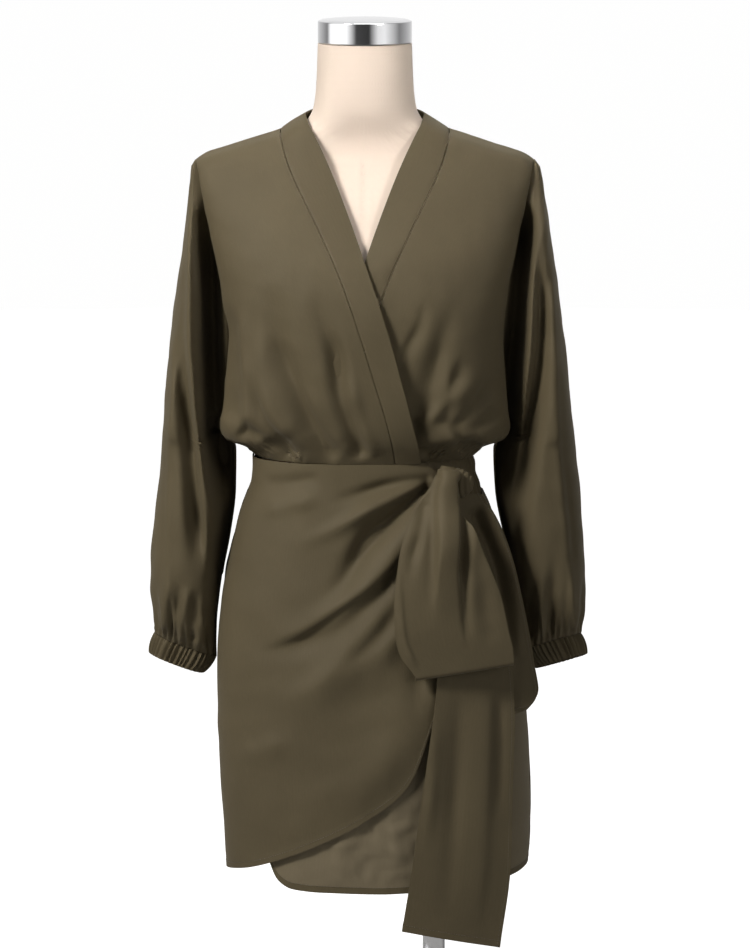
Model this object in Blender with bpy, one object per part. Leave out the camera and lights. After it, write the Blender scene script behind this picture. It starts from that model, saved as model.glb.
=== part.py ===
"""A wrap dress with kimono sleeves and a side tie, worn by a limbless dress form on a round stand.

Metres, +Z up. The front faces -Y and the wearer's right is -X. The origin is the centre of the
stand's underside. Each piece that a maker would cut is one closed wall of cloth, worked out from
the tables of sections below and laid a seam's gap from its neighbours.
"""
import math
from collections import namedtuple

import bmesh
import bpy
import numpy as np

# ---- Driving sizes ----
CLOTH = 0.0016  # wall of the cloth
SEAM_GAP = 0.0004  # between pieces that are sewn together
FOLDED_GAP = 0.0006  # half the gap where two walls lean together over a seam
WAIST_Z = 0.642
CASING_BOTTOM_Z = 0.597
SHOULDER_TIP_Z = 0.9735
SHOULDER_NECK_Z = 1.003  # where the neckband's seam crosses the shoulder
UNDERARM_Z = 0.656
SLEEVE_CREEP = (0.0010, 0.0025)  # how far outside the armhole a sleeve starts: low down, and at the shoulder
LEVEL = (0.0, 0.0)  # the slopes of a level plane
SQUARENESS = 2.38  # power of the sections' superellipse: 2 is an ellipse, more is squarer

BASE_RADIUS = 0.175
BASE_HEIGHT = 0.012
POLE_X = 0.078  # the pole stands behind the hanging tie
POLE_RADIUS = 0.0125
FORM_BOTTOM_Z = 0.362
NECK_TOP_Z = 1.0975
CAP_HEIGHT = 0.0245
CAP_DOME = 0.0035
CAP_RADIUS = 0.0520

# ---- Colours: base colour, roughness, metallic ----
OLIVE = ((0.105, 0.088, 0.056), 0.62, 0.0)
CREAM = ((0.86, 0.77, 0.66), 0.75, 0.0)
CHROME = ((0.80, 0.80, 0.82), 0.12, 1.0)

# ---- Sections of the form, bottom to top ----
FormRow = namedtuple("FormRow", "z half_width front back")
FORM = [
    FormRow(FORM_BOTTOM_Z, 0.149, 0.086, 0.100),
    FormRow(0.420, 0.155, 0.092, 0.109),
    FormRow(0.480, 0.151, 0.094, 0.110),
    FormRow(0.540, 0.139, 0.092, 0.094),
    FormRow(0.590, 0.1235, 0.087, 0.076),
    FormRow(0.640, 0.1150, 0.082, 0.068),
    FormRow(0.700, 0.119, 0.088, 0.073),
    FormRow(0.760, 0.129, 0.104, 0.083),
    FormRow(0.810, 0.137, 0.113, 0.092),
    FormRow(0.860, 0.145, 0.101, 0.097),
    FormRow(0.910, 0.157, 0.079, 0.094),
    FormRow(0.945, 0.165, 0.060, 0.084),
    FormRow(0.962, 0.165, 0.047, 0.066),
    FormRow(0.975, 0.153, 0.039, 0.053),
    FormRow(0.988, 0.122, 0.037, 0.047),
    FormRow(1.000, 0.088, 0.039, 0.046),
    FormRow(1.011, 0.0655, 0.044, 0.048),
    FormRow(1.026, 0.0572, 0.049, 0.050),
    FormRow(1.050, 0.0540, 0.0510, 0.0510),
    FormRow(NECK_TOP_Z, 0.0520, 0.0520, 0.0520),
]

# ---- Sections of the bodice. side_y is the armhole's depth, hook how far the edge there turns in ----
BodiceRow = namedtuple("BodiceRow", "z half_width depth side_y hook")
BODICE_FRONT = [
    BodiceRow(0.9735, 0.1870, -0.0006, -0.0006, 0.000),
    BodiceRow(0.9690, 0.1864, -0.030, -0.009, 0.000),
    BodiceRow(0.9560, 0.1848, -0.048, -0.016, 0.002),
    BodiceRow(0.9350, 0.1818, -0.069, -0.020, 0.004),
    BodiceRow(0.9000, 0.1750, -0.096, -0.024, 0.006),
    BodiceRow(0.8600, 0.1665, -0.118, -0.027, 0.008),
    BodiceRow(0.8200, 0.1600, -0.129, -0.027, 0.009),
    BodiceRow(0.7800, 0.1565, -0.132, -0.025, 0.010),
    BodiceRow(0.7400, 0.1590, -0.130, -0.021, 0.011),
    BodiceRow(0.7000, 0.1625, -0.126, -0.018, 0.010),
    BodiceRow(0.6770, 0.1650, -0.121, -0.014, 0.007),
    BodiceRow(0.6640, 0.1610, -0.115, -0.009, 0.005),
    BodiceRow(UNDERARM_Z, 0.1460, -0.109, -0.0010, 0.003),
    BodiceRow(0.6500, 0.1340, -0.105, -0.0005, 0.000),
    BodiceRow(WAIST_Z, 0.1245, -0.100, -0.0005, 0.000),
]
BODICE_BACK = [
    BodiceRow(0.9350, 0.1818, 0.101, 0.021, 0.004),
    BodiceRow(0.9000, 0.1755, 0.112, 0.024, 0.006),
    BodiceRow(0.8600, 0.1680, 0.117, 0.026, 0.008),
    BodiceRow(0.8200, 0.1620, 0.118, 0.026, 0.009),
    BodiceRow(0.7800, 0.1600, 0.116, 0.024, 0.010),
    BodiceRow(0.7400, 0.1610, 0.112, 0.020, 0.011),
    BodiceRow(0.7000, 0.1630, 0.106, 0.018, 0.010),
    BodiceRow(0.6770, 0.1645, 0.101, 0.014, 0.007),
    BodiceRow(0.6640, 0.1590, 0.095, 0.009, 0.005),
    BodiceRow(UNDERARM_Z, 0.1450, 0.090, 0.0010, 0.003),
    BodiceRow(0.6500, 0.1340, 0.086, 0.0005, 0.000),
    BodiceRow(WAIST_Z, 0.1245, 0.081, 0.0005, 0.000),
]
BACK_SEAM = (0.068, 0.998)  # y and z of the neckband's seam at the centre back
BACK_EDGE = (0.064, 1.028)  # y and z of its free edge there
BACK_NECK_SHARE = 0.46  # share of the back's top edge that runs round the neck

# The neckline's reach towards the wearer's side, past the centre where negative, the depth of its
# free edge, and how deep the left front lies under the right one there.
NeckRow = namedtuple("NeckRow", "z seam free free_y step")
NECKLINE = [
    NeckRow(1.0205, 0.0940, 0.0660, 0.000, 0.000),
    NeckRow(1.0110, 0.0940, 0.0620, -0.0325, 0.000),
    NeckRow(1.0030, 0.0940, 0.0575, -0.0390, 0.000),
    NeckRow(0.9790, 0.0885, 0.0452, -0.0520, 0.000),
    NeckRow(0.9580, 0.0805, 0.0355, -0.0640, 0.001),
    NeckRow(0.9360, 0.0695, 0.0262, -0.0770, 0.002),
    NeckRow(0.8980, 0.0500, 0.0115, -0.0975, 0.005),
    NeckRow(0.8520, 0.0285, -0.0050, -0.1205, 0.007),
    NeckRow(0.8000, 0.0098, -0.0225, -0.1310, 0.009),
    NeckRow(0.7310, -0.0115, -0.0415, -0.1295, 0.014),
    NeckRow(0.6900, -0.0235, -0.0520, -0.1225, 0.016),
    NeckRow(0.6600, -0.0300, -0.0590, -0.1090, 0.011),
    NeckRow(WAIST_Z, -0.0325, -0.0615, -0.0960, 0.007),
]

# ---- Sections of the skirt's inner layer, waist to hem. The wearer's left side is the fuller ----
SkirtRow = namedtuple("SkirtRow", "z right left front back")
SKIRT = [
    SkirtRow(WAIST_Z, 0.1245, 0.1215, 0.0930, 0.0800),
    SkirtRow(0.6130, 0.1265, 0.1270, 0.0955, 0.0860),
    SkirtRow(0.5970, 0.1320, 0.1325, 0.0980, 0.0910),
    SkirtRow(0.5800, 0.1385, 0.1405, 0.1000, 0.0975),
    SkirtRow(0.5350, 0.1495, 0.1530, 0.1060, 0.1120),
    SkirtRow(0.4725, 0.1610, 0.1660, 0.1120, 0.1240),
    SkirtRow(0.4150, 0.1655, 0.1750, 0.1160, 0.1300),
    SkirtRow(0.3350, 0.1650, 0.1830, 0.1200, 0.1320),
    SkirtRow(0.2540, 0.1610, 0.1865, 0.1230, 0.1320),
    SkirtRow(0.1600, 0.1550, 0.1847, 0.1250, 0.1300),
]
WRAP_STEP = 0.0070  # the outer wrap lies this far outside the inner layer
# The outer wrap seen from the front, as x and z: its top, its free edge and its hem.
WRAP_TOP = [(-0.1245, 0.6416), (0.0000, 0.6416), (0.0600, 0.6416), (0.0715, 0.6350), (0.0790, 0.6265)]
WRAP_EDGE = [(0.0790, 0.6265), (0.0860, 0.6000), (0.0900, 0.5200), (0.0890, 0.4400), (0.0810, 0.3850)]
WRAP_HEM = [(-0.1553, 0.1720), (-0.1349, 0.1790), (-0.1091, 0.1870), (-0.0682, 0.2040), (-0.0300, 0.2230),
            (0.0079, 0.2450), (0.0300, 0.2610), (0.0460, 0.2765), (0.0590, 0.3000), (0.0690, 0.3350),
            (0.0810, 0.3850)]
# The underlap likewise.
UNDER_TOP = [(0.1325, 0.5966), (0.0500, 0.5966), (-0.0850, 0.5966)]
UNDER_EDGE = [(-0.0850, 0.5966), (-0.0960, 0.4500), (-0.1050, 0.3000), (-0.1085, 0.2000)]
UNDER_HEM = [(0.1846, 0.1770), (0.1640, 0.1740), (0.1250, 0.1690), (0.0478, 0.1645), (0.0112, 0.1630),
             (-0.0300, 0.1640), (-0.0610, 0.1645), (-0.0833, 0.1665), (-0.0985, 0.1760), (-0.1085, 0.2000)]
BACK_HEM_Z = (0.1720, 0.1750, 0.1770)  # at the right side, the centre back and the left side
CASING_END = (-0.0850, 0.6000)  # where the casing ends on the underlap: x and z
CASING_WAVES = 26
CASING_WAVE_DEPTH = 0.0011
CASING_CHANNELS = 2
CASING_CHANNEL_DEPTH = 0.0020

CAP_Z = 0.9680  # the ends of a sleeve's first row, which rises between them to the shoulder's tip
# ---- Sections of a sleeve, shoulder to cuff. tilt lifts its outer side, pitch lowers its back ----
SleeveRow = namedtuple("SleeveRow", "z inner outer front back tilt pitch")
SLEEVE_RIGHT = [
    SleeveRow(CAP_Z, 0.1860, 0.1910, -0.0115, 0.0120, 0.00, 0.0),
    SleeveRow(0.9560, 0.1845, 0.1928, -0.0170, 0.0175, 0.00, 0.0),
    SleeveRow(0.9350, 0.1820, 0.1950, -0.024, 0.028, 0.00, 0.0),
    SleeveRow(0.9150, 0.1800, 0.1970, -0.038, 0.044, 0.00, 0.0),
    SleeveRow(0.8900, 0.1765, 0.2000, -0.052, 0.061, 0.00, 0.0),
    SleeveRow(0.8500, 0.1695, 0.2060, -0.063, 0.074, 0.00, 0.0),
    SleeveRow(0.7900, 0.1630, 0.2145, -0.068, 0.080, 0.00, 0.0),
    SleeveRow(0.7400, 0.1640, 0.2200, -0.068, 0.081, 0.00, 0.0),
    SleeveRow(0.7000, 0.1675, 0.2240, -0.068, 0.082, 0.00, 0.0),
    SleeveRow(0.6770, 0.1695, 0.2256, -0.067, 0.082, 0.00, 0.0),
    SleeveRow(0.6640, 0.1655, 0.2264, -0.066, 0.082, 0.00, 0.0),
    SleeveRow(0.6560, 0.1505, 0.2268, -0.065, 0.081, 0.00, 0.0),
    SleeveRow(0.6420, 0.1450, 0.2280, -0.064, 0.080, 0.00, 0.0),
    SleeveRow(0.6000, 0.1455, 0.2320, -0.063, 0.079, 0.02, 0.0),
    SleeveRow(0.5500, 0.1520, 0.2380, -0.061, 0.078, 0.08, 0.0),
    SleeveRow(0.5150, 0.1590, 0.2405, -0.060, 0.076, 0.12, 0.0),
    SleeveRow(0.4830, 0.1640, 0.2403, -0.057, 0.072, 0.20, 0.0),
    SleeveRow(0.4560, 0.1670, 0.2375, -0.051, 0.064, 0.29, 0.02),
    SleeveRow(0.4350, 0.1675, 0.2365, -0.038, 0.047, 0.36, 0.03),
    SleeveRow(0.4230, 0.1672, 0.2372, -0.027, 0.034, 0.38, 0.04),
]
SLEEVE_LEFT = [
    SleeveRow(CAP_Z, 0.1865, 0.1918, -0.0115, 0.0120, 0.00, 0.0),
    SleeveRow(0.9560, 0.1850, 0.1950, -0.0170, 0.0175, 0.00, 0.0),
    SleeveRow(0.9350, 0.1825, 0.1988, -0.024, 0.028, 0.00, 0.0),
    SleeveRow(0.9150, 0.1805, 0.2020, -0.038, 0.044, 0.00, 0.0),
    SleeveRow(0.8900, 0.1770, 0.2058, -0.052, 0.061, 0.00, 0.0),
    SleeveRow(0.8500, 0.1705, 0.2115, -0.063, 0.074, 0.00, 0.0),
    SleeveRow(0.7900, 0.1635, 0.2200, -0.068, 0.080, 0.00, 0.0),
    SleeveRow(0.7400, 0.1645, 0.2260, -0.068, 0.081, 0.00, 0.0),
    SleeveRow(0.7000, 0.1680, 0.2300, -0.068, 0.082, 0.00, 0.0),
    SleeveRow(0.6770, 0.1695, 0.2322, -0.067, 0.082, 0.00, 0.0),
    SleeveRow(0.6640, 0.1655, 0.2333, -0.066, 0.082, 0.00, 0.0),
    SleeveRow(0.6560, 0.1505, 0.2341, -0.065, 0.081, 0.00, 0.0),
    SleeveRow(0.6420, 0.1445, 0.2365, -0.064, 0.080, 0.00, 0.0),
    SleeveRow(0.6000, 0.1465, 0.2410, -0.062, 0.079, 0.02, 0.0),
    SleeveRow(0.5500, 0.1560, 0.2448, -0.059, 0.078, 0.06, 0.02),
    SleeveRow(0.5150, 0.1660, 0.2467, -0.056, 0.076, 0.10, 0.05),
    SleeveRow(0.4830, 0.1725, 0.2474, -0.053, 0.072, 0.16, 0.10),
    SleeveRow(0.4560, 0.1765, 0.2462, -0.047, 0.064, 0.22, 0.16),
    SleeveRow(0.4350, 0.1790, 0.2435, -0.036, 0.047, 0.27, 0.22),
    SleeveRow(0.4240, 0.1785, 0.2440, -0.027, 0.034, 0.29, 0.25),
]
SLEEVE_MOUTH = (0.62, 1.50)  # half angle of a sleeve's open side: at the armhole and at the shoulder
SLEEVE_GATHERS = 11
SLEEVE_GATHER_DEPTH = 0.0030
CUFF_DROP = 0.0215
CUFF_LEAN = 0.0105  # the cuff's foot stands this far outside its head
CUFF_NARROWING = 0.90
CUFF_WAVES = 22
CUFF_WAVE_DEPTH = 0.0011

# ---- Folds: a line seen from the front, as x and z, its height and its half widths on both sides ----
Fold = namedtuple("Fold", "line height soft sharp")
BODICE_RIGHT_FOLDS = [
    Fold([(-0.112, 0.830), (-0.098, 0.780), (-0.074, 0.7125), (-0.050, 0.674), (-0.026, 0.644)],
         -0.0085, 0.017, 0.011),
    Fold([(-0.055, 0.830), (-0.0315, 0.767), (-0.0238, 0.715), (-0.0129, 0.685), (0.0003, 0.644)],
         -0.0070, 0.013, 0.009),
    Fold([(-0.145, 0.668), (-0.108, 0.659), (-0.074, 0.645)], -0.0050, 0.010, 0.007),
    Fold([(-0.134, 0.860), (-0.131, 0.760), (-0.129, 0.672)], 0.0040, 0.014, 0.010),
]
BODICE_LEFT_FOLDS = [
    Fold([(0.058, 0.676), (0.067, 0.715), (0.0777, 0.753), (0.0932, 0.8215)], -0.0070, 0.013, 0.009),
    Fold([(0.053, 0.683), (0.0777, 0.701), (0.1015, 0.7226), (0.120, 0.750)], 0.0050, 0.012, 0.008),
    Fold([(0.080, 0.652), (0.110, 0.668), (0.140, 0.700)], -0.0045, 0.011, 0.009),
]
WRAP_FOLDS = [
    Fold([(0.060, 0.6215), (0.030, 0.6215), (-0.0085, 0.613), (-0.045, 0.597)], -0.0022, 0.009, 0.006),
    Fold([(0.066, 0.611), (0.0538, 0.612), (0.015, 0.595), (-0.028, 0.572), (-0.075, 0.556)],
         0.0060, 0.013, 0.009),
    Fold([(0.066, 0.602), (0.0145, 0.5525), (-0.0238, 0.513), (-0.060, 0.485)], -0.0030, 0.015, 0.012),
    Fold([(0.060, 0.585), (0.0396, 0.5525), (-0.005, 0.4955), (-0.063, 0.4515), (-0.115, 0.435)],
         0.0075, 0.018, 0.010),
    Fold([(0.062, 0.560), (0.0326, 0.500), (-0.0100, 0.444), (-0.0580, 0.3985)], 0.0040, 0.020, 0.014),
    Fold([(0.055, 0.455), (0.030, 0.410), (-0.0216, 0.345), (-0.095, 0.300)], 0.0050, 0.024, 0.016),
]
UNDER_FOLDS = [
    Fold([(0.085, 0.560), (0.100, 0.400), (0.105, 0.200)], 0.0040, 0.016, 0.012),
    Fold([(0.030, 0.300), (0.034, 0.220), (0.036, 0.165)], 0.0030, 0.014, 0.010),
    Fold([(-0.020, 0.260), (-0.030, 0.200), (-0.034, 0.166)], 0.0025, 0.014, 0.010),
]
# Drapes run down a piece: their share of its width at top and foot, height, half width and heights.
Drape = namedtuple("Drape", "at_top at_foot height width z_top z_foot")
BODICE_BACK_DRAPES = [
    Drape(0.18, 0.24, -0.0060, 0.035, 0.800, 0.642),
    Drape(0.32, 0.34, -0.0070, 0.035, 0.780, 0.642),
    Drape(0.45, 0.45, -0.0060, 0.035, 0.770, 0.642),
    Drape(0.57, 0.56, -0.0065, 0.035, 0.785, 0.642),
    Drape(0.70, 0.66, -0.0070, 0.035, 0.800, 0.642),
    Drape(0.83, 0.77, -0.0055, 0.035, 0.780, 0.642),
]
SKIRT_BACK_DRAPES = [
    Drape(0.10, 0.12, 0.0050, 0.040, 0.597, 0.330),
    Drape(0.26, 0.24, 0.0060, 0.045, 0.597, 0.150),
    Drape(0.41, 0.42, 0.0050, 0.040, 0.597, 0.280),
    Drape(0.56, 0.58, 0.0060, 0.045, 0.597, 0.150),
    Drape(0.72, 0.75, 0.0050, 0.040, 0.597, 0.230),
    Drape(0.88, 0.90, 0.0060, 0.045, 0.597, 0.150),
]
SLEEVE_DRAPES = [
    Drape(0.17, 0.20, 0.0055, 0.050, 0.900, 0.430),
    Drape(0.27, 0.30, -0.0080, 0.042, 0.900, 0.440),
    Drape(0.365, 0.385, 0.0045, 0.045, 0.880, 0.420),
    Drape(0.62, 0.59, -0.0065, 0.055, 0.880, 0.450),
    Drape(0.77, 0.73, 0.0060, 0.060, 0.900, 0.430),
]

# ---- The tie: each row gives the left and right edges of a piece as it hangs from the knot ----
TieRow = namedtuple("TieRow", "x_left z_left y_left x_right z_right y_right bow")
LOOP = [
    TieRow(0.0745, 0.6165, -0.1030, 0.1030, 0.6075, -0.1010, 0.003),
    TieRow(0.0572, 0.5984, -0.1190, 0.1040, 0.5925, -0.1110, 0.008),
    TieRow(0.0451, 0.5702, -0.1290, 0.1146, 0.5710, -0.1170, 0.010),
    TieRow(0.0381, 0.5444, -0.1350, 0.1268, 0.5460, -0.1200, 0.010),
    TieRow(0.0321, 0.4891, -0.1410, 0.1491, 0.5000, -0.1230, 0.007),
    TieRow(0.0332, 0.4599, -0.1430, 0.1582, 0.4598, -0.1230, 0.005),
    TieRow(0.0372, 0.4400, -0.1430, 0.1630, 0.4390, -0.1220, 0.003),
    TieRow(0.0560, 0.4120, -0.1420, 0.1642, 0.4255, -0.1210, 0.001),
]
LOOP_DEPTH = 0.0095  # between the front and back layers of the loop
LONG_TAIL = [
    TieRow(0.0870, 0.6020, -0.0960, 0.1010, 0.6020, -0.0945, 0.000),
    TieRow(0.0835, 0.5700, -0.1060, 0.1140, 0.5700, -0.0962, 0.001),
    TieRow(0.0815, 0.5200, -0.1150, 0.1340, 0.5200, -0.0920, 0.001),
    TieRow(0.0810, 0.4600, -0.1215, 0.1520, 0.4600, -0.0890, 0.001),
    TieRow(0.0793, 0.3967, -0.1265, 0.1640, 0.4000, -0.0895, 0.002),
    TieRow(0.0703, 0.3294, -0.1320, 0.1662, 0.3500, -0.0940, 0.003),
    TieRow(0.0633, 0.2761, -0.1340, 0.1642, 0.2836, -0.1000, 0.004),
    TieRow(0.0512, 0.1877, -0.1350, 0.1622, 0.1929, -0.1050, 0.005),
    TieRow(0.0411, 0.1234, -0.1350, 0.1504, 0.0985, -0.1080, 0.003),
]
SHORT_TAIL = [
    TieRow(0.1050, 0.6065, -0.0890, 0.1285, 0.6060, -0.0790, 0.000),
    TieRow(0.1070, 0.5750, -0.0925, 0.1460, 0.5750, -0.0750, 0.000),
    TieRow(0.1090, 0.5400, -0.0962, 0.1600, 0.5400, -0.0725, 0.000),
    TieRow(0.1130, 0.4900, -0.1000, 0.1735, 0.4870, -0.0720, 0.000),
    TieRow(0.1180, 0.4450, -0.1010, 0.1825, 0.4480, -0.0720, 0.000),
    TieRow(0.1240, 0.4050, -0.1010, 0.1885, 0.4130, -0.0730, 0.000),
    TieRow(0.1290, 0.3760, -0.1010, 0.1930, 0.3860, -0.0740, 0.000),
    TieRow(0.1320, 0.3600, -0.1010, 0.1895, 0.3740, -0.0760, 0.000),
    TieRow(0.1340, 0.3500, -0.1010, 0.1800, 0.3630, -0.0790, 0.000),
]
KNOT_CENTRE = (0.0985, -0.0955, 0.6230)
KNOT_SIZE = (0.0165, 0.0105, 0.0125)  # half width, half depth, half height
KNOT_GATHERS = 7
KNOT_GATHER_DEPTH = 0.0011


# ---- Curves and folds ----
def through(stations, values, at):
    """A smooth curve through the values, without overshoot, read at any stations."""
    s, f = np.asarray(stations, float), np.asarray(values, float)
    if s[0] > s[-1]:
        s, f = s[::-1], f[::-1]
    step = np.diff(s)
    slope = np.diff(f) / step
    tangent = np.zeros_like(f)
    tangent[0], tangent[-1] = slope[0], slope[-1]
    for i in range(1, len(f) - 1):
        if slope[i - 1] * slope[i] > 0:
            before, after = 2 * step[i] + step[i - 1], step[i] + 2 * step[i - 1]
            tangent[i] = (before + after) / (before / slope[i - 1] + after / slope[i])
    x = np.clip(np.asarray(at, float), s[0], s[-1])
    i = np.clip(np.searchsorted(s, x, side="right") - 1, 0, len(step) - 1)
    t = (x - s[i]) / step[i]
    start = f[i] * (1 + 2 * t) + tangent[i] * step[i] * t
    end = f[i + 1] * (3 - 2 * t) + tangent[i + 1] * step[i] * (t - 1)
    return start * (1 - t) ** 2 + end * t**2


def read(table, column, z):
    """A named column of a table of sections, at height z."""
    return through([row.z for row in table], [getattr(row, column) for row in table], z)


def ease(low, high, value):
    """0 at low and 1 at high, smooth between and flat beyond. high may be the lower number."""
    t = np.clip((np.asarray(value, float) - low) / (high - low), 0, 1)
    return t * t * (3 - 2 * t)


def spaced(points, count):
    """A smooth line through the points, read at an even spacing."""
    points = np.asarray(points, float)
    length = np.concatenate([[0], np.cumsum(np.linalg.norm(np.diff(points, axis=0), axis=1))])
    at = np.linspace(0, length[-1], count)
    return np.stack([through(length, points[:, k], at) for k in range(points.shape[1])], axis=1)


def squircle(turn):
    """The unit superellipse's x and -y at an angle that is 0 at the front and grows towards +X."""
    radius = (np.abs(np.sin(turn)) ** SQUARENESS + np.abs(np.cos(turn)) ** SQUARENESS) ** (-1 / SQUARENESS)
    return radius * np.sin(turn), radius * np.cos(turn)


def turn_of(share):
    """The angle at which the front half of the unit superellipse reaches a share of its half width."""
    share = np.clip(share, -1, 1)
    return np.arctan2(share, (1 - np.abs(share) ** SQUARENESS) ** (1 / SQUARENESS))


def fold_height(fold, x, z, samples=28):
    """How far a fold lifts or sinks the cloth at points seen from the front."""
    path = spaced(fold.line, samples)
    at = np.linspace(0, 1, samples)
    points = np.stack([np.ravel(x), np.ravel(z)], axis=1)
    gaps = points[:, None, :] - path[None, :, :]
    nearest = np.argmin((gaps**2).sum(axis=2), axis=1)
    along = np.gradient(path, axis=0)
    along /= np.linalg.norm(along, axis=1)[:, None]
    gap = gaps[np.arange(len(points)), nearest]
    side = along[nearest, 0] * gap[:, 1] - along[nearest, 1] * gap[:, 0]
    width = np.where(side > 0, fold.soft, fold.sharp)
    fade = ease(-0.02, 0.30, at[nearest]) * ease(1.12, 0.75, at[nearest])
    height = fold.height * fade * np.exp(-((np.linalg.norm(gap, axis=1) / width) ** 2))
    return height.reshape(np.shape(x))


def drape_height(drapes, share, z):
    """How far the drapes lift or sink the cloth, by the share of the width and the height."""
    total = np.zeros(np.broadcast(share, z).shape)
    for drape in drapes:
        down = np.clip((drape.z_top - z) / (drape.z_top - drape.z_foot), 0, 1)
        centre = drape.at_top + (drape.at_foot - drape.at_top) * down
        fade = ease(0.0, 0.35, down) * ease(drape.z_foot - 0.04, drape.z_foot + 0.03, z)
        total += drape.height * fade * np.exp(-(((share - centre) / drape.width) ** 2))
    return total


def outward(grid, centre, closed=False):
    """Unit normals of a grid of points, rows down and columns round, that point away from a centre."""
    if closed:
        across = np.roll(grid, -1, axis=1) - np.roll(grid, 1, axis=1)
    else:
        across = np.gradient(grid, axis=1)
    normal = np.cross(across, np.gradient(grid, axis=0))
    normal /= np.maximum(np.linalg.norm(normal, axis=2, keepdims=True), 1e-12)
    away = grid - np.asarray(centre, float)
    return normal if (normal * away).sum() > 0 else -normal


def patch(top, foot, first, last):
    """A grid that fills four border lines: top and foot run across, first and last run down."""
    u = np.linspace(0, 1, len(top))[None, :, None]
    v = np.linspace(0, 1, len(first))[:, None, None]
    across = (1 - v) * top[None] + v * foot[None]
    down = (1 - u) * first[:, None] + u * last[:, None]
    corners = (1 - u) * (1 - v) * top[0] + u * (1 - v) * top[-1] + (1 - u) * v * foot[0] + u * v * foot[-1]
    return across + down - corners


# ---- Turning grids into closed walls ----
def material(name, look):
    """The material of a kind of surface, made once."""
    made = bpy.data.materials.get(name) or bpy.data.materials.new(name)
    made.use_nodes = True
    shader = made.node_tree.nodes["Principled BSDF"]
    shader.inputs["Base Color"].default_value = (*look[0], 1.0)
    shader.inputs["Roughness"].default_value = look[1]
    shader.inputs["Metallic"].default_value = look[2]
    made.diffuse_color = (*look[0], 1.0)
    return made


def finish_piece(name, form, look_name, look):
    """Turns a bmesh into one named, outward facing piece."""
    bmesh.ops.triangulate(form, faces=form.faces[:])
    bmesh.ops.recalc_face_normals(form, faces=form.faces[:])
    mesh = bpy.data.meshes.new(name)
    form.to_mesh(mesh)
    form.free()
    mesh.materials.append(material(look_name, look))
    made = bpy.data.objects.new(name, mesh)
    bpy.context.scene.collection.objects.link(made)
    mesh.shade_smooth()
    mesh.set_sharp_from_angle(angle=math.radians(40))
    return made


def cloth(name, grid, centre=(0.0, 0.0, 0.6), closed=False, planes=None, square=(), capped=False):
    """A wall of cloth: the grid is its outer face. closed joins the last column to the first.

    planes gives rows whose rim lies in a plane, with the plane's slopes along X and Y. square gives
    columns of the first row whose rim stays square to the shoulder seam. capped is for a first row
    that doubles back along the first edge: its wall leans there as beside it.
    """
    normal = outward(grid, centre, closed)
    if capped:
        normal[0, 0] = normal[0, 1]
    inner = grid - normal * CLOTH
    for row, slopes in (planes or {}).items():
        inner[row, :, 2] = grid[row, :, 2] + (inner[row, :, :2] - grid[row, :, :2]) @ np.array(slopes)
    for column in square:
        inner[0, column, 1] = grid[0, column, 1]
    rows, columns = grid.shape[:2]
    form = bmesh.new()
    outside = [[form.verts.new(p) for p in row] for row in grid]
    inside = [[form.verts.new(p) for p in row] for row in inner]
    spans = columns if closed else columns - 1
    for i in range(rows - 1):
        for j in range(spans):
            k = (j + 1) % columns
            form.faces.new((outside[i][j], outside[i][k], outside[i + 1][k], outside[i + 1][j]))
            form.faces.new((inside[i][j], inside[i + 1][j], inside[i + 1][k], inside[i][k]))
    for j in range(spans):
        k = (j + 1) % columns
        form.faces.new((outside[0][j], inside[0][j], inside[0][k], outside[0][k]))
        form.faces.new((outside[-1][j], outside[-1][k], inside[-1][k], inside[-1][j]))
    if not closed:
        for i in range(rows - 1):
            form.faces.new((outside[i][0], outside[i + 1][0], inside[i + 1][0], inside[i][0]))
            form.faces.new((outside[i][-1], inside[i][-1], inside[i + 1][-1], outside[i + 1][-1]))
    return finish_piece(name, form, "olive_cloth", OLIVE)


def stacked(name, rings, look_name, look):
    """A solid through closed rings of points, with a flat face at each end."""
    form = bmesh.new()
    loops = [[form.verts.new(p) for p in ring] for ring in rings]
    for low, high in zip(loops, loops[1:]):
        for k, _ in enumerate(low):
            n = (k + 1) % len(low)
            form.faces.new((low[k], low[n], high[n], high[k]))
    form.faces.new(loops[0][::-1])
    form.faces.new(loops[-1])
    return finish_piece(name, form, look_name, look)


def turned(name, profile, x, segments, look_name, look):
    """A solid of revolution about the vertical line at x, from its radii and heights, foot to top."""
    angle = np.linspace(0, 2 * np.pi, segments, endpoint=False)
    rings = [np.stack([x + r * np.cos(angle), r * np.sin(angle), np.full(segments, z)], axis=1)
             for r, z in profile]
    return stacked(name, rings, look_name, look)


# ---- The form and its stand ----
FORM_LEVELS = [FORM_BOTTOM_Z, 0.405, 0.455, 0.505, 0.555, 0.605, 0.650, 0.705, 0.755, 0.795, 0.830, 0.868,
               0.905, 0.937, 0.957, 0.971, 0.983, 0.994, 1.004, 1.015, 1.030, 1.055, NECK_TOP_Z]


def form_ring(z, segments):
    """One section of the torso."""
    turn = np.linspace(0, 2 * np.pi, segments, endpoint=False)
    x, y = squircle(turn)
    depth = np.where(np.cos(turn) > 0, read(FORM, "front", z), read(FORM, "back", z))
    return np.stack([read(FORM, "half_width", z) * x, -depth * y, np.full(segments, z)], axis=1)


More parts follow.
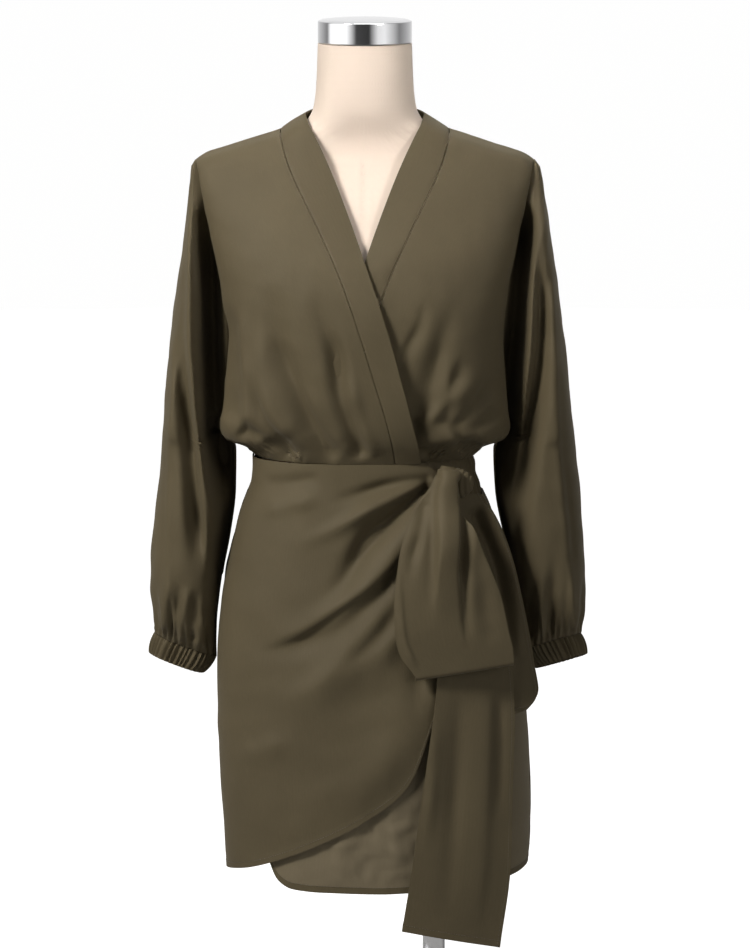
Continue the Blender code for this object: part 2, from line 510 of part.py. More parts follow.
def build_form(segments=28):
    """The torso with its neck, the polished cap, the socket, the pole, its collar and the foot."""
    stacked("form_torso", [form_ring(z, segments) for z in FORM_LEVELS], "form_jersey", CREAM)
    cap_foot = NECK_TOP_Z + SEAM_GAP
    cap_top = cap_foot + CAP_HEIGHT
    turned("form_neck_cap",
           [(CAP_RADIUS, cap_foot), (CAP_RADIUS, cap_top - 0.0012), (CAP_RADIUS - 0.0012, cap_top),
            (CAP_RADIUS * 0.6, cap_top + CAP_DOME * 0.75), (CAP_RADIUS * 0.2, cap_top + CAP_DOME)],
           0, 40, "chrome", CHROME)
    socket_top = FORM_BOTTOM_Z - SEAM_GAP
    socket_foot = socket_top - 0.018
    turned("form_socket", [(0.020, socket_foot), (0.032, socket_foot + 0.010), (0.032, socket_top)],
           POLE_X, 28, "chrome", CHROME)
    collar_foot = BASE_HEIGHT + SEAM_GAP
    collar_top = collar_foot + 0.014
    turned("stand_pole", [(POLE_RADIUS, collar_top + SEAM_GAP), (POLE_RADIUS, socket_foot - SEAM_GAP)],
           POLE_X, 24, "chrome", CHROME)
    turned("stand_collar", [(0.026, collar_foot), (0.026, collar_top - 0.004), (0.019, collar_top)],
           POLE_X, 28, "chrome", CHROME)
    turned("stand_base",
           [(BASE_RADIUS - 0.001, 0.0), (BASE_RADIUS, 0.001), (BASE_RADIUS, BASE_HEIGHT - 0.004),
            (BASE_RADIUS - 0.004, BASE_HEIGHT)],
           0, 48, "chrome", CHROME)


# ---- The bodice ----
def shoulder_lift(z):
    """How much higher a row of the front lies at the neckline than at the armhole."""
    full = SHOULDER_NECK_Z - SHOULDER_TIP_Z
    return full * np.clip((z - 0.86) / (SHOULDER_TIP_Z - 0.86), 0, 1) ** 2


def bodice_row(table, z, inner, shares):
    """Reach, y and height of one row of a panel, from its inner edge to the armhole."""
    half, depth = read(table, "half_width", z), read(table, "depth", z)
    side_y, start = read(table, "side_y", z), turn_of(inner / half)
    wide, deep = squircle(start + (math.pi / 2 - start) * shares)
    reach = half * wide
    rise = shoulder_lift(z) * np.clip(1 - (reach - inner) / (half - inner), 0, 1.4)
    hooked = reach - read(table, "hook", z) * ease(0.80, 1.0, shares)
    return hooked, side_y + (depth - side_y) * deep, z + rise


def under_depth(side, reach, z):
    """How far the wearer's left front is set in where the right one passes over it."""
    if side < 0:
        return reach * 0.0
    past = reach + read(NECKLINE, "free", z)
    return read(NECKLINE, "step", z) * ease(0.060, 0.004, past)


FRONT_LEVELS = [0.9735, 0.9690, 0.9600, 0.9450, 0.9250, 0.9000, 0.8700, 0.8350, 0.8000, 0.7650, 0.7350,
                0.7080, 0.6880, 0.6740, 0.6640, 0.6560, 0.6500, WAIST_Z]


def front_grid(side, levels=FRONT_LEVELS, columns=15):
    """The outer face of a bodice front. side is -1 for the wearer's right, +1 for the left."""
    shares = np.linspace(0, 1, columns)
    rows = []
    for z in levels:
        inner = read(NECKLINE, "seam", z + shoulder_lift(z))
        reach, y, height = bodice_row(BODICE_FRONT, z, inner, shares)
        rows.append(np.stack([side * reach, y + under_depth(side, reach, height), height], axis=1))
    grid = np.array(rows)
    folds = BODICE_RIGHT_FOLDS if side < 0 else BODICE_LEFT_FOLDS
    lift = sum(fold_height(fold, grid[..., 0], grid[..., 2]) for fold in folds)
    lift = lift * ease(0.0, 0.14, shares) * ease(1.0, 0.86, shares)
    lift = lift * ease(WAIST_Z, WAIST_Z + 0.026, grid[..., 2])
    return grid + outward(grid, (0, 0, 0.8)) * lift[..., None]


def neck_curve(share, free=False):
    """A point of the neckband's seam or free edge round the back: 0 at the centre back, 1 at the shoulder."""
    x = NECKLINE[0].free if free else NECKLINE[0].seam
    y, z = BACK_EDGE if free else BACK_SEAM
    end_z = NECKLINE[0].z if free else SHOULDER_NECK_Z
    turn = share * math.pi / 2
    return np.array([x * math.sin(turn), y * math.cos(turn), z + (end_z - z) * ease(0, 1, share)])


BACK_LEVELS = [0.9350, 0.9050, 0.8700, 0.8300, 0.7900, 0.7500, 0.7150, 0.6900, 0.6740, 0.6640, 0.6560,
               0.6500, WAIST_Z]


def back_grid(levels=BACK_LEVELS, columns=25, yoke=(0.0, 0.2, 0.45, 0.72)):
    """The outer face of the bodice's back, from the wearer's right armhole to the left."""
    shares = np.linspace(-1, 1, columns)
    reach_share, hand = np.abs(shares), np.sign(shares)
    tip = np.array([BODICE_FRONT[0].half_width, 0.0, SHOULDER_TIP_Z])
    top = []
    for share in reach_share:
        if share <= BACK_NECK_SHARE:
            top.append(neck_curve(share / BACK_NECK_SHARE))
        else:
            start = neck_curve(1.0)
            top.append(start + (tip - start) * (share - BACK_NECK_SHARE) / (1 - BACK_NECK_SHARE))
    top = np.array(top) + (0, FOLDED_GAP, 0)
    rows = []
    for z in levels:
        reach, y, _ = bodice_row(BODICE_BACK, z, 0.0, reach_share)
        rows.append(np.stack([reach, y, np.full(columns, z)], axis=1))
    bend = top + (rows[0] - top) * (0.5, 0.75, 0.12)
    drop = [top * (1 - t) ** 2 + bend * 2 * t * (1 - t) + rows[0] * t**2 for t in yoke]
    grid = np.array(drop + rows)
    grid[..., 0] *= hand
    lift = drape_height(BODICE_BACK_DRAPES, (shares + 1) / 2, grid[..., 2])
    lift = lift * ease(WAIST_Z, WAIST_Z + 0.026, grid[..., 2]) * ease(1.0, 0.86, reach_share)
    return grid + outward(grid, (0, 0, 0.8)) * lift[..., None]


def band_grid(side, columns=3):
    """The outer face of half a neckband, from the centre back over the shoulder to the waist."""
    pairs = [(neck_curve(share), neck_curve(share, free=True)) for share in (0.0, 0.22, 0.44, 0.66, 0.86, 1.0)]
    rise = NECKLINE[0].z - SHOULDER_NECK_Z
    for z in FRONT_LEVELS[1:]:
        height = z + shoulder_lift(z)
        reach = read(NECKLINE, "seam", height)
        half, depth, side_y = (read(BODICE_FRONT, column, z) for column in ("half_width", "depth", "side_y"))
        y = side_y + (depth - side_y) * squircle(turn_of(reach / half))[1]
        seam = np.array([reach, y + under_depth(side, reach, height), height])
        height = height + rise * ease(0.92, SHOULDER_NECK_Z, height)
        reach, y = read(NECKLINE, "free", height), read(NECKLINE, "free_y", height)
        pairs.append((seam, np.array([reach, y + under_depth(side, reach, height), height])))
    grid = []
    for seam, free in pairs:
        start = seam + (free - seam) / np.linalg.norm(free - seam) * SEAM_GAP * 1.5
        grid.append([start + (free - start) * t for t in np.linspace(0, 1, columns)])
    grid = np.array(grid)
    grid[0, :, 0] += FOLDED_GAP
    grid[..., 0] *= side
    return grid


# ---- The sleeves ----
def edge_reader(edge):
    """Reads x and y along an armhole edge by height."""
    edge = edge[np.argsort(edge[:, 2])]
    return lambda z: np.array([through(edge[:, 2], np.abs(edge[:, 0]), z), through(edge[:, 2], edge[:, 1], z)])


SLEEVE_LEVELS = [0.9610, 0.9490, 0.9300, 0.9000, 0.8500, 0.7900, 0.7350, 0.7080, 0.6880, 0.6740,
                 0.6640, 0.6560, 0.6440, 0.6100, 0.5600, 0.5150, 0.4800, 0.4520]


def sleeve_row(table, z, front_edge, back_edge, columns):
    """One row of a sleeve as reach, y and height, from the front of the armhole round to its back."""
    inner, outer, front, back = (read(table, c, z) for c in ("inner", "outer", "front", "back"))
    centre, middle = (inner + outer) / 2, (front + back) / 2
    mouth = SLEEVE_MOUTH[0] + (SLEEVE_MOUTH[1] - SLEEVE_MOUTH[0]) * ease(0.86, 0.968, z)
    mouth = mouth * ease(UNDERARM_Z, UNDERARM_Z + 0.05, z)
    turn = np.linspace(-math.pi / 2 + mouth, 1.5 * math.pi - mouth, columns)
    wide, deep = squircle(turn)
    reach = centre + (outer - inner) / 2 * wide
    y = middle - (back - front) / 2 * deep
    share = np.linspace(0, 1, columns)
    if z >= UNDERARM_Z:
        creep = SLEEVE_CREEP[0] + (SLEEVE_CREEP[1] - SLEEVE_CREEP[0]) * ease(0.90, 0.955, z)
        start, end = front_edge(z) + (creep, 0), back_edge(z) + (creep, 0)
    else:
        seam = middle * ease(UNDERARM_Z, UNDERARM_Z - 0.05, z)
        start, end = np.array([inner, seam - FOLDED_GAP]), np.array([inner, seam + FOLDED_GAP])
    hold = 0.13
    for at, held in ((start, ease(hold, 0.0, share)), (end, ease(1 - hold, 1.0, share))):
        index = 0 if held[0] > 0.5 else -1
        shift = at - np.array([reach[index], y[index]])
        reach, y = reach + shift[0] * held, y + shift[1] * held
    tilt, pitch = read(table, "tilt", z), read(table, "pitch", z)
    return np.stack([reach, y, z + tilt * (reach - centre) - pitch * (y - middle)], axis=1)


def cap_row(front_edge, back_edge, columns):
    """A sleeve's first row, which follows the armhole over the shoulder's tip."""
    row = []
    for share in np.linspace(-1, 1, columns):
        z = SHOULDER_TIP_Z - (SHOULDER_TIP_Z - CAP_Z) * abs(share)
        x, y = front_edge(z) if share < 0 else back_edge(z)
        row.append((x + SLEEVE_CREEP[1], y, z - SEAM_GAP))
    return np.array(row)


def sleeve_grid(side, table, front_edge, back_edge, columns=21):
    """The outer face of a sleeve."""
    foot = table[-1].z
    levels = np.array([CAP_Z, *SLEEVE_LEVELS, foot])[:, None]
    grid = np.array([cap_row(front_edge, back_edge, columns)]
                    + [sleeve_row(table, z, front_edge, back_edge, columns) for z in levels[1:, 0]])
    share = np.linspace(0, 1, columns)
    lift = drape_height(SLEEVE_DRAPES, share, levels)
    gathers = np.cos(2 * np.pi * SLEEVE_GATHERS * share)
    lift = lift + SLEEVE_GATHER_DEPTH * gathers * ease(foot + 0.075, foot + 0.030, levels)
    lift = lift * ease(foot, foot + 0.030, levels) * ease(0.0, 0.12, share) * ease(1.0, 0.88, share)
    grid = grid + outward(grid, grid.mean(axis=1, keepdims=True)) * lift[..., None]
    grid[..., 0] *= side
    return grid


def cuff_grid(side, table, sides=2 * CUFF_WAVES):
    """The outer face of a gathered cuff, under the sleeve's last row."""
    row = table[-1]
    ring = sleeve_row(table, row.z, None, None, sides + 1)[:-1]
    centre = ring.mean(axis=0)
    wave = np.where(np.arange(sides) % 2 == 0, 1.0, -1.0)[:, None] * CUFF_WAVE_DEPTH
    rows = []
    for t in (0.0, 0.5, 1.0):
        width = 1 + (CUFF_NARROWING - 1) * t + 0.02 * math.sin(math.pi * t)
        away = (ring - centre) * width
        away = away * (1 - 0.0012 / np.linalg.norm(away, axis=1, keepdims=True))
        away += away / np.linalg.norm(away, axis=1, keepdims=True) * wave * (0.35 + 0.65 * t)
        shift = np.array([CUFF_LEAN * t, 0.0, -CUFF_DROP * t - SEAM_GAP * 1.5])
        rows.append(centre + away + shift)
    grid = np.array(rows)
    grid[..., 0] *= side
    return grid


# ---- The skirt ----
def skirt_point(turn, z, out=0.0):
    """A point of the skirt's inner layer, or of a layer that lies farther out."""
    wide, deep = squircle(turn)
    half = np.where(np.sin(turn) > 0, read(SKIRT, "left", z), read(SKIRT, "right", z)) + out
    depth = np.where(np.cos(turn) > 0, read(SKIRT, "front", z), read(SKIRT, "back", z)) + out
    return np.stack([half * wide, -depth * deep, np.broadcast_to(z, np.shape(half * wide))], axis=-1)


def skirt_turn(points):
    """The angle and height of points of the skirt's front that are given as x and z."""
    points = np.asarray(points, float)
    half = np.where(points[:, 0] > 0, read(SKIRT, "left", points[:, 1]), read(SKIRT, "right", points[:, 1]))
    return np.stack([turn_of(points[:, 0] / half), points[:, 1]], axis=1)


def skirt_border(points, count):
    """An evenly spaced border line as angles and heights, from points seen from the front."""
    return skirt_turn(spaced(points, count))


def side_line(turn, z_top, z_foot, count):
    """The border down a side seam."""
    return np.stack([np.full(count, turn), np.linspace(z_top, z_foot, count)], axis=1)


def wrap_grid(rows=19, columns=18):
    """The outer face of the outer wrap, from the right side seam to its free edge in the tie."""
    border = patch(skirt_border(WRAP_TOP, columns), skirt_border(WRAP_HEM, columns),
                   side_line(-math.pi / 2 + 0.006, WRAP_TOP[0][1], WRAP_HEM[0][1], rows),
                   skirt_border(WRAP_EDGE, rows))
    turn, z = border[..., 0], border[..., 1]
    grid = skirt_point(turn, z, WRAP_STEP * ease(-math.pi / 2, -0.95, turn))
    lift = sum(fold_height(fold, grid[..., 0], z) for fold in WRAP_FOLDS)
    lift = lift * ease(-math.pi / 2, -1.15, turn) * ease(WAIST_Z, WAIST_Z - 0.022, z)
    return grid + outward(grid, (0, 0, 0.4)) * lift[..., None]


def under_grid(rows=11, columns=16):
    """The outer face of the underlap, from the left side seam to its free edge under the wrap."""
    border = patch(skirt_border(UNDER_TOP, columns), skirt_border(UNDER_HEM, columns),
                   side_line(math.pi / 2 - 0.004, UNDER_TOP[0][1], UNDER_HEM[0][1], rows),
                   skirt_border(UNDER_EDGE, rows))
    turn, z = border[..., 0], border[..., 1]
    grid = skirt_point(turn, z)
    covered = ease(0.30, 0.60, z) * ease(0.085, 0.03, grid[..., 0])
    lift = sum(fold_height(fold, grid[..., 0], z) for fold in UNDER_FOLDS) * (1 - covered)
    return grid + outward(grid, (0, 0, 0.4)) * lift[..., None]


def skirt_back_grid(rows=10, columns=19):
    """The outer face of the skirt's back, from the right side seam to the left."""
    share = np.linspace(0, 1, columns)
    turn = -math.pi / 2 - 0.004 - (math.pi - 0.008) * share
    hem = through([0, 0.5, 1], BACK_HEM_Z, share)
    top = CASING_BOTTOM_Z - SEAM_GAP
    z = top + (hem - top) * np.linspace(0, 1, rows)[:, None]
    grid = skirt_point(np.broadcast_to(turn, z.shape), z)
    lift = drape_height(SKIRT_BACK_DRAPES, share, z) * ease(0, 0.1, share) * ease(1, 0.9, share)
    return grid + outward(grid, (0, 0, 0.4)) * lift[..., None]


def casing_grid(columns=2 * CASING_WAVES):
    """The outer face of the elastic casing, from the right side round the back to the underlap's edge."""
    share = np.linspace(0, 1, columns)
    end = skirt_turn([CASING_END])[0, 0]
    turn = -math.pi / 2 - 0.004 + (end - 1.5 * math.pi + 0.004) * share
    rows = 2 * CASING_CHANNELS + 1
    level = np.linspace(0, 1, rows)
    top = WAIST_Z - SEAM_GAP
    z = top + (CASING_BOTTOM_Z - top) * level
    channel = np.where(np.arange(rows) % 2 == 1, CASING_CHANNEL_DEPTH, 0.0)
    wave = np.where(np.arange(columns) % 2 == 0, 0.0, 1.0) * CASING_WAVE_DEPTH
    turns, heights = np.meshgrid(turn, z)
    return skirt_point(turns, heights, -channel[:, None] - wave[None, :])


# ---- The tie ----
def tie_row(row, shares, sink=0.0):
    """Points across a ribbon, bowed towards the front, or a layer set back by sink."""
    left = np.array([row.x_left, row.y_left + sink, row.z_left])
    right = np.array([row.x_right, row.y_right + sink, row.z_right])
    line = left + (right - left) * shares[:, None]
    line[:, 1] -= row.bow * np.sin(np.pi * shares)
    return line


def tie_at(table, along):
    """The ribbon's row at a share of its length."""
    at = np.linspace(0, 1, len(table))
    return TieRow(*(float(through(at, [getattr(row, name) for row in table], along)) for name in TieRow._fields))


def loop_grid(table, rows=8, columns=6):
    """A ribbon that hangs down, turns under at its foot and comes up again behind itself."""
    shares = np.linspace(0, 1, columns)
    front = [tie_row(tie_at(table, t), shares) for t in np.linspace(0, 1, rows)]
    foot = tie_row(table[-1], shares)
    turn = [foot + (0.0, LOOP_DEPTH / 2 * (1 - math.cos(a)), -LOOP_DEPTH / 2 * math.sin(a))
            for a in (math.pi / 4, math.pi / 2, math.pi * 3 / 4)]
    narrow = [LOOP_DEPTH * (0.66 + 0.34 * ease(0, 0.25, t)) for t in np.linspace(1, 0, rows)]
    back = [tie_row(tie_at(table, t), shares, sink) for t, sink in zip(np.linspace(1, 0, rows), narrow)]
    return np.array(front + turn + back)


def tail_grid(table, rows=12, columns=6):
    """A hanging end of the tie."""
    shares = np.linspace(0, 1, columns)
    return np.array([tie_row(tie_at(table, t), shares) for t in np.linspace(0, 1, rows)])


def build_knot(segments=24, rings=9):
    """The knot: a flattened ball that is wound round with gathers."""
    turn = np.linspace(0, 2 * np.pi, segments, endpoint=False)
    stack = []
    for tilt in np.linspace(-0.46, 0.46, rings) * math.pi:
        gather = 1 - KNOT_GATHER_DEPTH / KNOT_SIZE[1] * (0.5 - 0.5 * np.cos(KNOT_GATHERS * 2 * tilt))
        wide, high = squircle(turn)
        ring = np.stack([np.full(segments, math.sin(tilt)), -wide * math.cos(tilt) * gather,
                         high * math.cos(tilt) * gather], axis=1)
        stack.append(ring * KNOT_SIZE + KNOT_CENTRE)
    stacked("sash_knot", stack, "olive_cloth", OLIVE)


# ---- Build ----
def build():
    """Builds every piece into an empty scene."""
    for old in list(bpy.data.objects):
        bpy.data.objects.remove(old, do_unlink=True)
    build_form()
    fronts = {side: front_grid(side) for side in (-1, 1)}
    back = back_grid()
    cloth("bodice_front_right", fronts[-1], planes={-1: LEVEL}, square=range(fronts[-1].shape[1]))
    cloth("bodice_front_left", fronts[1], planes={-1: LEVEL}, square=range(fronts[1].shape[1]))
    cloth("bodice_back", back, planes={-1: LEVEL},
          square=[j for j in range(back.shape[1]) if abs(back[0, j, 1]) < FOLDED_GAP * 1.01])
    cloth("neckband_right", band_grid(-1), (0, 0, 0.7), planes={-1: LEVEL})
    cloth("neckband_left", band_grid(1), (0, 0, 0.7), planes={-1: LEVEL})
    for side, word, table, column in ((-1, "right", SLEEVE_RIGHT, 0), (1, "left", SLEEVE_LEFT, -1)):
        front_edge, back_edge = edge_reader(fronts[side][:, -1]), edge_reader(back[:, column])
        sleeve = sleeve_grid(side, table, front_edge, back_edge)
        slopes = (side * table[-1].tilt, -table[-1].pitch)
        cloth(f"sleeve_{word}", sleeve, sleeve.mean(axis=1, keepdims=True), planes={-1: slopes}, capped=True)
        cuff = cuff_grid(side, table)
        cloth(f"cuff_{word}", cuff, cuff.mean(axis=1, keepdims=True), closed=True, planes={0: slopes})
    cloth("waist_casing", casing_grid(), planes={0: LEVEL, -1: LEVEL})
    cloth("skirt_front_right", wrap_grid(), planes={0: LEVEL})
    cloth("skirt_front_left", under_grid(), planes={0: LEVEL})
    cloth("skirt_back", skirt_back_grid(), planes={0: LEVEL})
    build_knot()
    loop = loop_grid(LOOP)
    cloth("sash_loop", loop, loop.mean(axis=(0, 1)))
    cloth("sash_long_tail", tail_grid(LONG_TAIL), (0, 0.3, 0.4))
    cloth("sash_short_tail", tail_grid(SHORT_TAIL), (0, 0.3, 0.4))


build()
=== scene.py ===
"""Looks of a short wrap dress with kimono sleeves, worn by a limbless dress form on a round stand.

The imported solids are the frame. Each piece of cloth is replaced by a thin shell over the same
sections, with its folds, gathers, hems and stitching, and the form gets its jersey, seams and
polished metal. Metres, +Z up. The front faces -Y and the wearer's right is -X.
"""
import logging
from dataclasses import dataclass, field
from enum import Enum
from math import cos, pi, radians, sin
from typing import Callable, NamedTuple, Sequence

import bpy
import numpy as np
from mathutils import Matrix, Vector


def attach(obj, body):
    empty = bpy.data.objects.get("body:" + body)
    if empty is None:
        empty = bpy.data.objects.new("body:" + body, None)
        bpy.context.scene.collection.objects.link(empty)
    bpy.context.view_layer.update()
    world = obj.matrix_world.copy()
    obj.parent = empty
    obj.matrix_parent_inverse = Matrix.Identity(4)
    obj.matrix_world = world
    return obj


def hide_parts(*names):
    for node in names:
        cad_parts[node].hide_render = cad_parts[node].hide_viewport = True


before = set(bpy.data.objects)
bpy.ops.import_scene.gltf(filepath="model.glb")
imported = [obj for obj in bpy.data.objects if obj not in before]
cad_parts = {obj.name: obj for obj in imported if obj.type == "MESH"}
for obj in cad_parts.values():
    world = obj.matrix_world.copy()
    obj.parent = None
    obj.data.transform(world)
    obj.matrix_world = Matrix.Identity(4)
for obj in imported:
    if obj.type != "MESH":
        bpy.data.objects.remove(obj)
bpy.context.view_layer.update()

log = logging.getLogger("wrap_dress")

Grid = np.ndarray  # points as rows down, columns across and x, y, z
Line = Sequence[tuple[float, float]]  # a line seen from the front as x and z, or radii and heights
Colour = tuple[float, float, float]
Object, Material, Socket = bpy.types.Object, bpy.types.Material, bpy.types.NodeSocket

CLOTH = 0.0009  # a single layer of the crepe
HEMMED = 0.0019  # where it is turned up and stitched
SEAM_GAP = 0.0004
FOLDED_GAP = 0.0006
WAIST_Z = 0.642
UNDERARM_Z = 0.656
CASING_BOTTOM_Z = 0.597
SHOULDER_TIP_Z = 0.9735
SHOULDER_NECK_Z = 1.003
CAP_Z = 0.968
SQUARENESS = 2.38
FORM_BOTTOM_Z = 0.362
NECK_TOP_Z = 1.0975
POLE_X = 0.078
SPREAD_RADIUS = 0.12  # round pieces have their cloth coordinates spread at this radius
TIP_DROP = 0.0042  # how far the cloth rounds down at the shoulder's tip
YOKE_Z = 0.86  # above this the fronts rise towards the neck
STITCH_INSET = 0.0014  # from the inner edge of a hem to its stitches


class Side(Enum):
    """The wearer's side that a piece is on, as the sign of its X."""

    RIGHT = -1
    LEFT = 1

    @property
    def word(self) -> str:
        """The side's name in lower case."""
        return self.name.lower()


class Edge(Enum):
    """An edge of a grid."""

    TOP = "top"
    FOOT = "foot"
    FIRST = "first"
    LAST = "last"


# ---- Curves ----
def through(stations: Sequence[float], values: Sequence[float], at: np.ndarray | float) -> np.ndarray:
    """A smooth curve through the values, without overshoot.

    Args:
        stations: where the values stand, rising or falling.
        values: the values there.
        at: where to read the curve.

    Returns:
        The curve's values.
    """
    s, f = np.asarray(stations, float), np.asarray(values, float)
    if s[0] > s[-1]:
        s, f = s[::-1], f[::-1]
    step = np.diff(s)
    slope = np.diff(f) / step
    tangent = np.zeros_like(f)
    tangent[0], tangent[-1] = slope[0], slope[-1]
    for i in range(1, len(f) - 1):
        if slope[i - 1] * slope[i] > 0:
            before, after = 2 * step[i] + step[i - 1], step[i] + 2 * step[i - 1]
            tangent[i] = (before + after) / (before / slope[i - 1] + after / slope[i])
    x = np.clip(np.asarray(at, float), s[0], s[-1])
    i = np.clip(np.searchsorted(s, x, side="right") - 1, 0, len(step) - 1)
    t = (x - s[i]) / step[i]
    start = f[i] * (1 + 2 * t) + tangent[i] * step[i] * t
    end = f[i + 1] * (3 - 2 * t) + tangent[i + 1] * step[i] * (t - 1)
    return start * (1 - t) ** 2 + end * t**2


def ease(low: float, high: float, value: np.ndarray | float) -> np.ndarray:
    """0 at low and 1 at high, smooth between and flat beyond. high may be the lower number."""
    t = np.clip((np.asarray(value, float) - low) / (high - low), 0, 1)
    return t * t * (3 - 2 * t)


def between(first: float, last: float, share: np.ndarray) -> np.ndarray:
    """0 at both edges of a piece and 1 between two shares of its width."""
    return ease(0.0, first, share) * ease(1.0, last, share)


def spaced(points: Sequence, count: int) -> np.ndarray:
    """A smooth line through points, read at an even spacing.

    Args:
        points: the points.
        count: how many to read.

    Returns:
        The new points.
    """
    points = np.asarray(points, float)
    length = np.concatenate([[0], np.cumsum(np.linalg.norm(np.diff(points, axis=0), axis=1))])
    at = np.linspace(0, length[-1], count)
    return np.stack([through(length, points[:, k], at) for k in range(points.shape[1])], axis=1)


def squircle(turn: np.ndarray) -> tuple[np.ndarray, np.ndarray]:
    """The unit superellipse's x and -y at an angle that is 0 at the front and grows towards +X."""
    radius = (np.abs(np.sin(turn)) ** SQUARENESS + np.abs(np.cos(turn)) ** SQUARENESS) ** (-1 / SQUARENESS)
    return radius * np.sin(turn), radius * np.cos(turn)


def turn_of(share: np.ndarray | float) -> np.ndarray:
    """The angle at which the front half of the unit superellipse reaches a share of its half width."""
    share = np.clip(share, -1, 1)
    return np.arctan2(share, (1 - np.abs(share) ** SQUARENESS) ** (1 / SQUARENESS))


def outward(grid: Grid, centre: Sequence | np.ndarray, closed: bool = False) -> Grid:
    """Unit normals of a grid that point away from a centre.

    Args:
        grid: the points.
        centre: one point, or one for each row.
        closed: whether the last column joins the first.

    Returns:
        The normals.
    """
    if closed:
        across = np.roll(grid, -1, axis=1) - np.roll(grid, 1, axis=1)
    else:
        across = np.gradient(grid, axis=1)
    normal = np.cross(across, np.gradient(grid, axis=0))
    normal /= np.maximum(np.linalg.norm(normal, axis=2, keepdims=True), 1e-12)
    away = grid - np.asarray(centre, float)
    return normal if (normal * away).sum() > 0 else -normal


def patch(top: np.ndarray, foot: np.ndarray, first: np.ndarray, last: np.ndarray) -> Grid:
    """A grid that fills four border lines.

    Args:
        top: across its top.
        foot: across its foot.
        first: down its first column.
        last: down its last column.

    Returns:
        The grid.
    """
    u = np.linspace(0, 1, len(top))[None, :, None]
    v = np.linspace(0, 1, len(first))[:, None, None]
    across = (1 - v) * top[None] + v * foot[None]
    down = (1 - u) * first[:, None] + u * last[:, None]
    corners = (1 - u) * (1 - v) * top[0] + u * (1 - v) * top[-1] + (1 - u) * v * foot[0] + u * v * foot[-1]
    return across + down - corners


def ripple(a: np.ndarray, b: np.ndarray, length: float, seed: float = 0.0) -> np.ndarray:
    """An uneven field of soft waves between about -1 and 1.

    Args:
        a: one coordinate of the points, in metres.
        b: the other.
        length: the usual distance between two crests, in metres.
        seed: shifts the waves, so that no two pieces match.

    Returns:
        The field at the points.
    """
    total = 0.0
    for k in range(5):
        angle = 2.4 * k + seed
        pitch = 2 * np.pi / (length * (0.72 + 0.17 * k))
        bend = 0.35 * length * np.sin((a * sin(angle) - b * cos(angle)) * pitch * 0.43 + seed)
        total = total + np.sin((a * cos(angle) + b * sin(angle) + bend) * pitch + 1.7 * k + seed)
    return total / 3.2


# ---- Sections ----
@dataclass(frozen=True)
class Sections:
    """A table of sections: the names of its columns, of which the first is z, and a row for each height."""

    columns: str
    rows: tuple[tuple[float, ...], ...]

    def read(self, column: str, z: np.ndarray | float) -> np.ndarray:
        """A column's size at height z."""
        k = self.columns.split().index(column)
        return through([row[0] for row in self.rows], [row[k] for row in self.rows], z)


# ---- Folds ----
@dataclass(frozen=True)
class Crease:
    """A trough or ridge along a line seen from the front, as x and z."""

    line: tuple[tuple[float, float], ...]
    height: float  # below zero for a trough
    soft: float  # half width on the line's left, seen along it
    sharp: float  # half width on its right
    start: float = 0.3  # share of its length over which it rises
    end: float = 0.35  # share over which it fades
    crisp: float = 2.0  # power of its profile: lower is a sharper crest with longer feet

    def lift(self, x: np.ndarray, z: np.ndarray) -> np.ndarray:
        """How far the crease lifts the cloth.

        Args:
            x: x of the points, seen from the front.
            z: their heights.

        Returns:
            The lifts, below zero in a trough.
        """
        samples = 40
        path = spaced(self.line, samples)
        along = np.gradient(path, axis=0)
        pace = np.linalg.norm(along, axis=1)
        along /= pace[:, None]
        reach = 3.2 * max(self.soft, self.sharp)
        low, high = path.min(axis=0) - reach, path.max(axis=0) + reach
        flat_x, flat_z = np.ravel(x), np.ravel(z)
        near = (flat_x > low[0]) & (flat_x < high[0]) & (flat_z > low[1]) & (flat_z < high[1])
        total = np.zeros(len(flat_x))
        if not near.any():
            return total.reshape(np.shape(x))
        points = np.stack([flat_x[near], flat_z[near]], axis=1)
        gaps = points[:, None, :] - path[None, :, :]
        nearest = np.argmin((gaps**2).sum(axis=2), axis=1)
        gap, way = gaps[np.arange(len(points)), nearest], along[nearest]
        side = way[:, 0] * gap[:, 1] - way[:, 1] * gap[:, 0]
        at = (nearest + (gap * way).sum(axis=1) / pace[nearest]) / (samples - 1)
        width = np.where(side > 0, self.soft, self.sharp)
        fade = ease(0.0, self.start, at) * ease(1.0, 1 - self.end, at)
        x_start, z_start = self.line[0]
        uneven = 1 + 0.16 * np.sin(at * 9.0 + 40 * x_start) + 0.1 * np.sin(at * 17.0 + 60 * z_start)
        total[near] = self.height * uneven * fade * np.exp(-np.abs(side / width) ** self.crisp)
        return total.reshape(np.shape(x))


@dataclass(frozen=True)
class Drape:
    """A fold that runs down a piece: shares of its width at top and foot, and the heights it spans."""

    at_top: float
    at_foot: float
    height: float
    width: float
    z_top: float
    z_foot: float

    def lift(self, share: np.ndarray, z: np.ndarray) -> np.ndarray:
        """How far the drape lifts the cloth.

        Args:
            share: shares of the piece's width.
            z: heights.

        Returns:
            The lifts, below zero in a trough.
        """
        down = np.clip((self.z_top - z) / (self.z_top - self.z_foot), 0, 1)
        sway = 0.1 * self.width * np.sin(down * 7.0 + 30 * self.at_top)
        centre = self.at_top + (self.at_foot - self.at_top) * down + sway
        fade = ease(0.0, 0.35, down) * ease(self.z_foot - 0.04, self.z_foot + 0.03, z)
        uneven = 1 + 0.15 * np.sin(down * 8.0 + 50 * self.at_foot)
        return self.height * uneven * fade * np.exp(-(((share - centre) / self.width) ** 2))


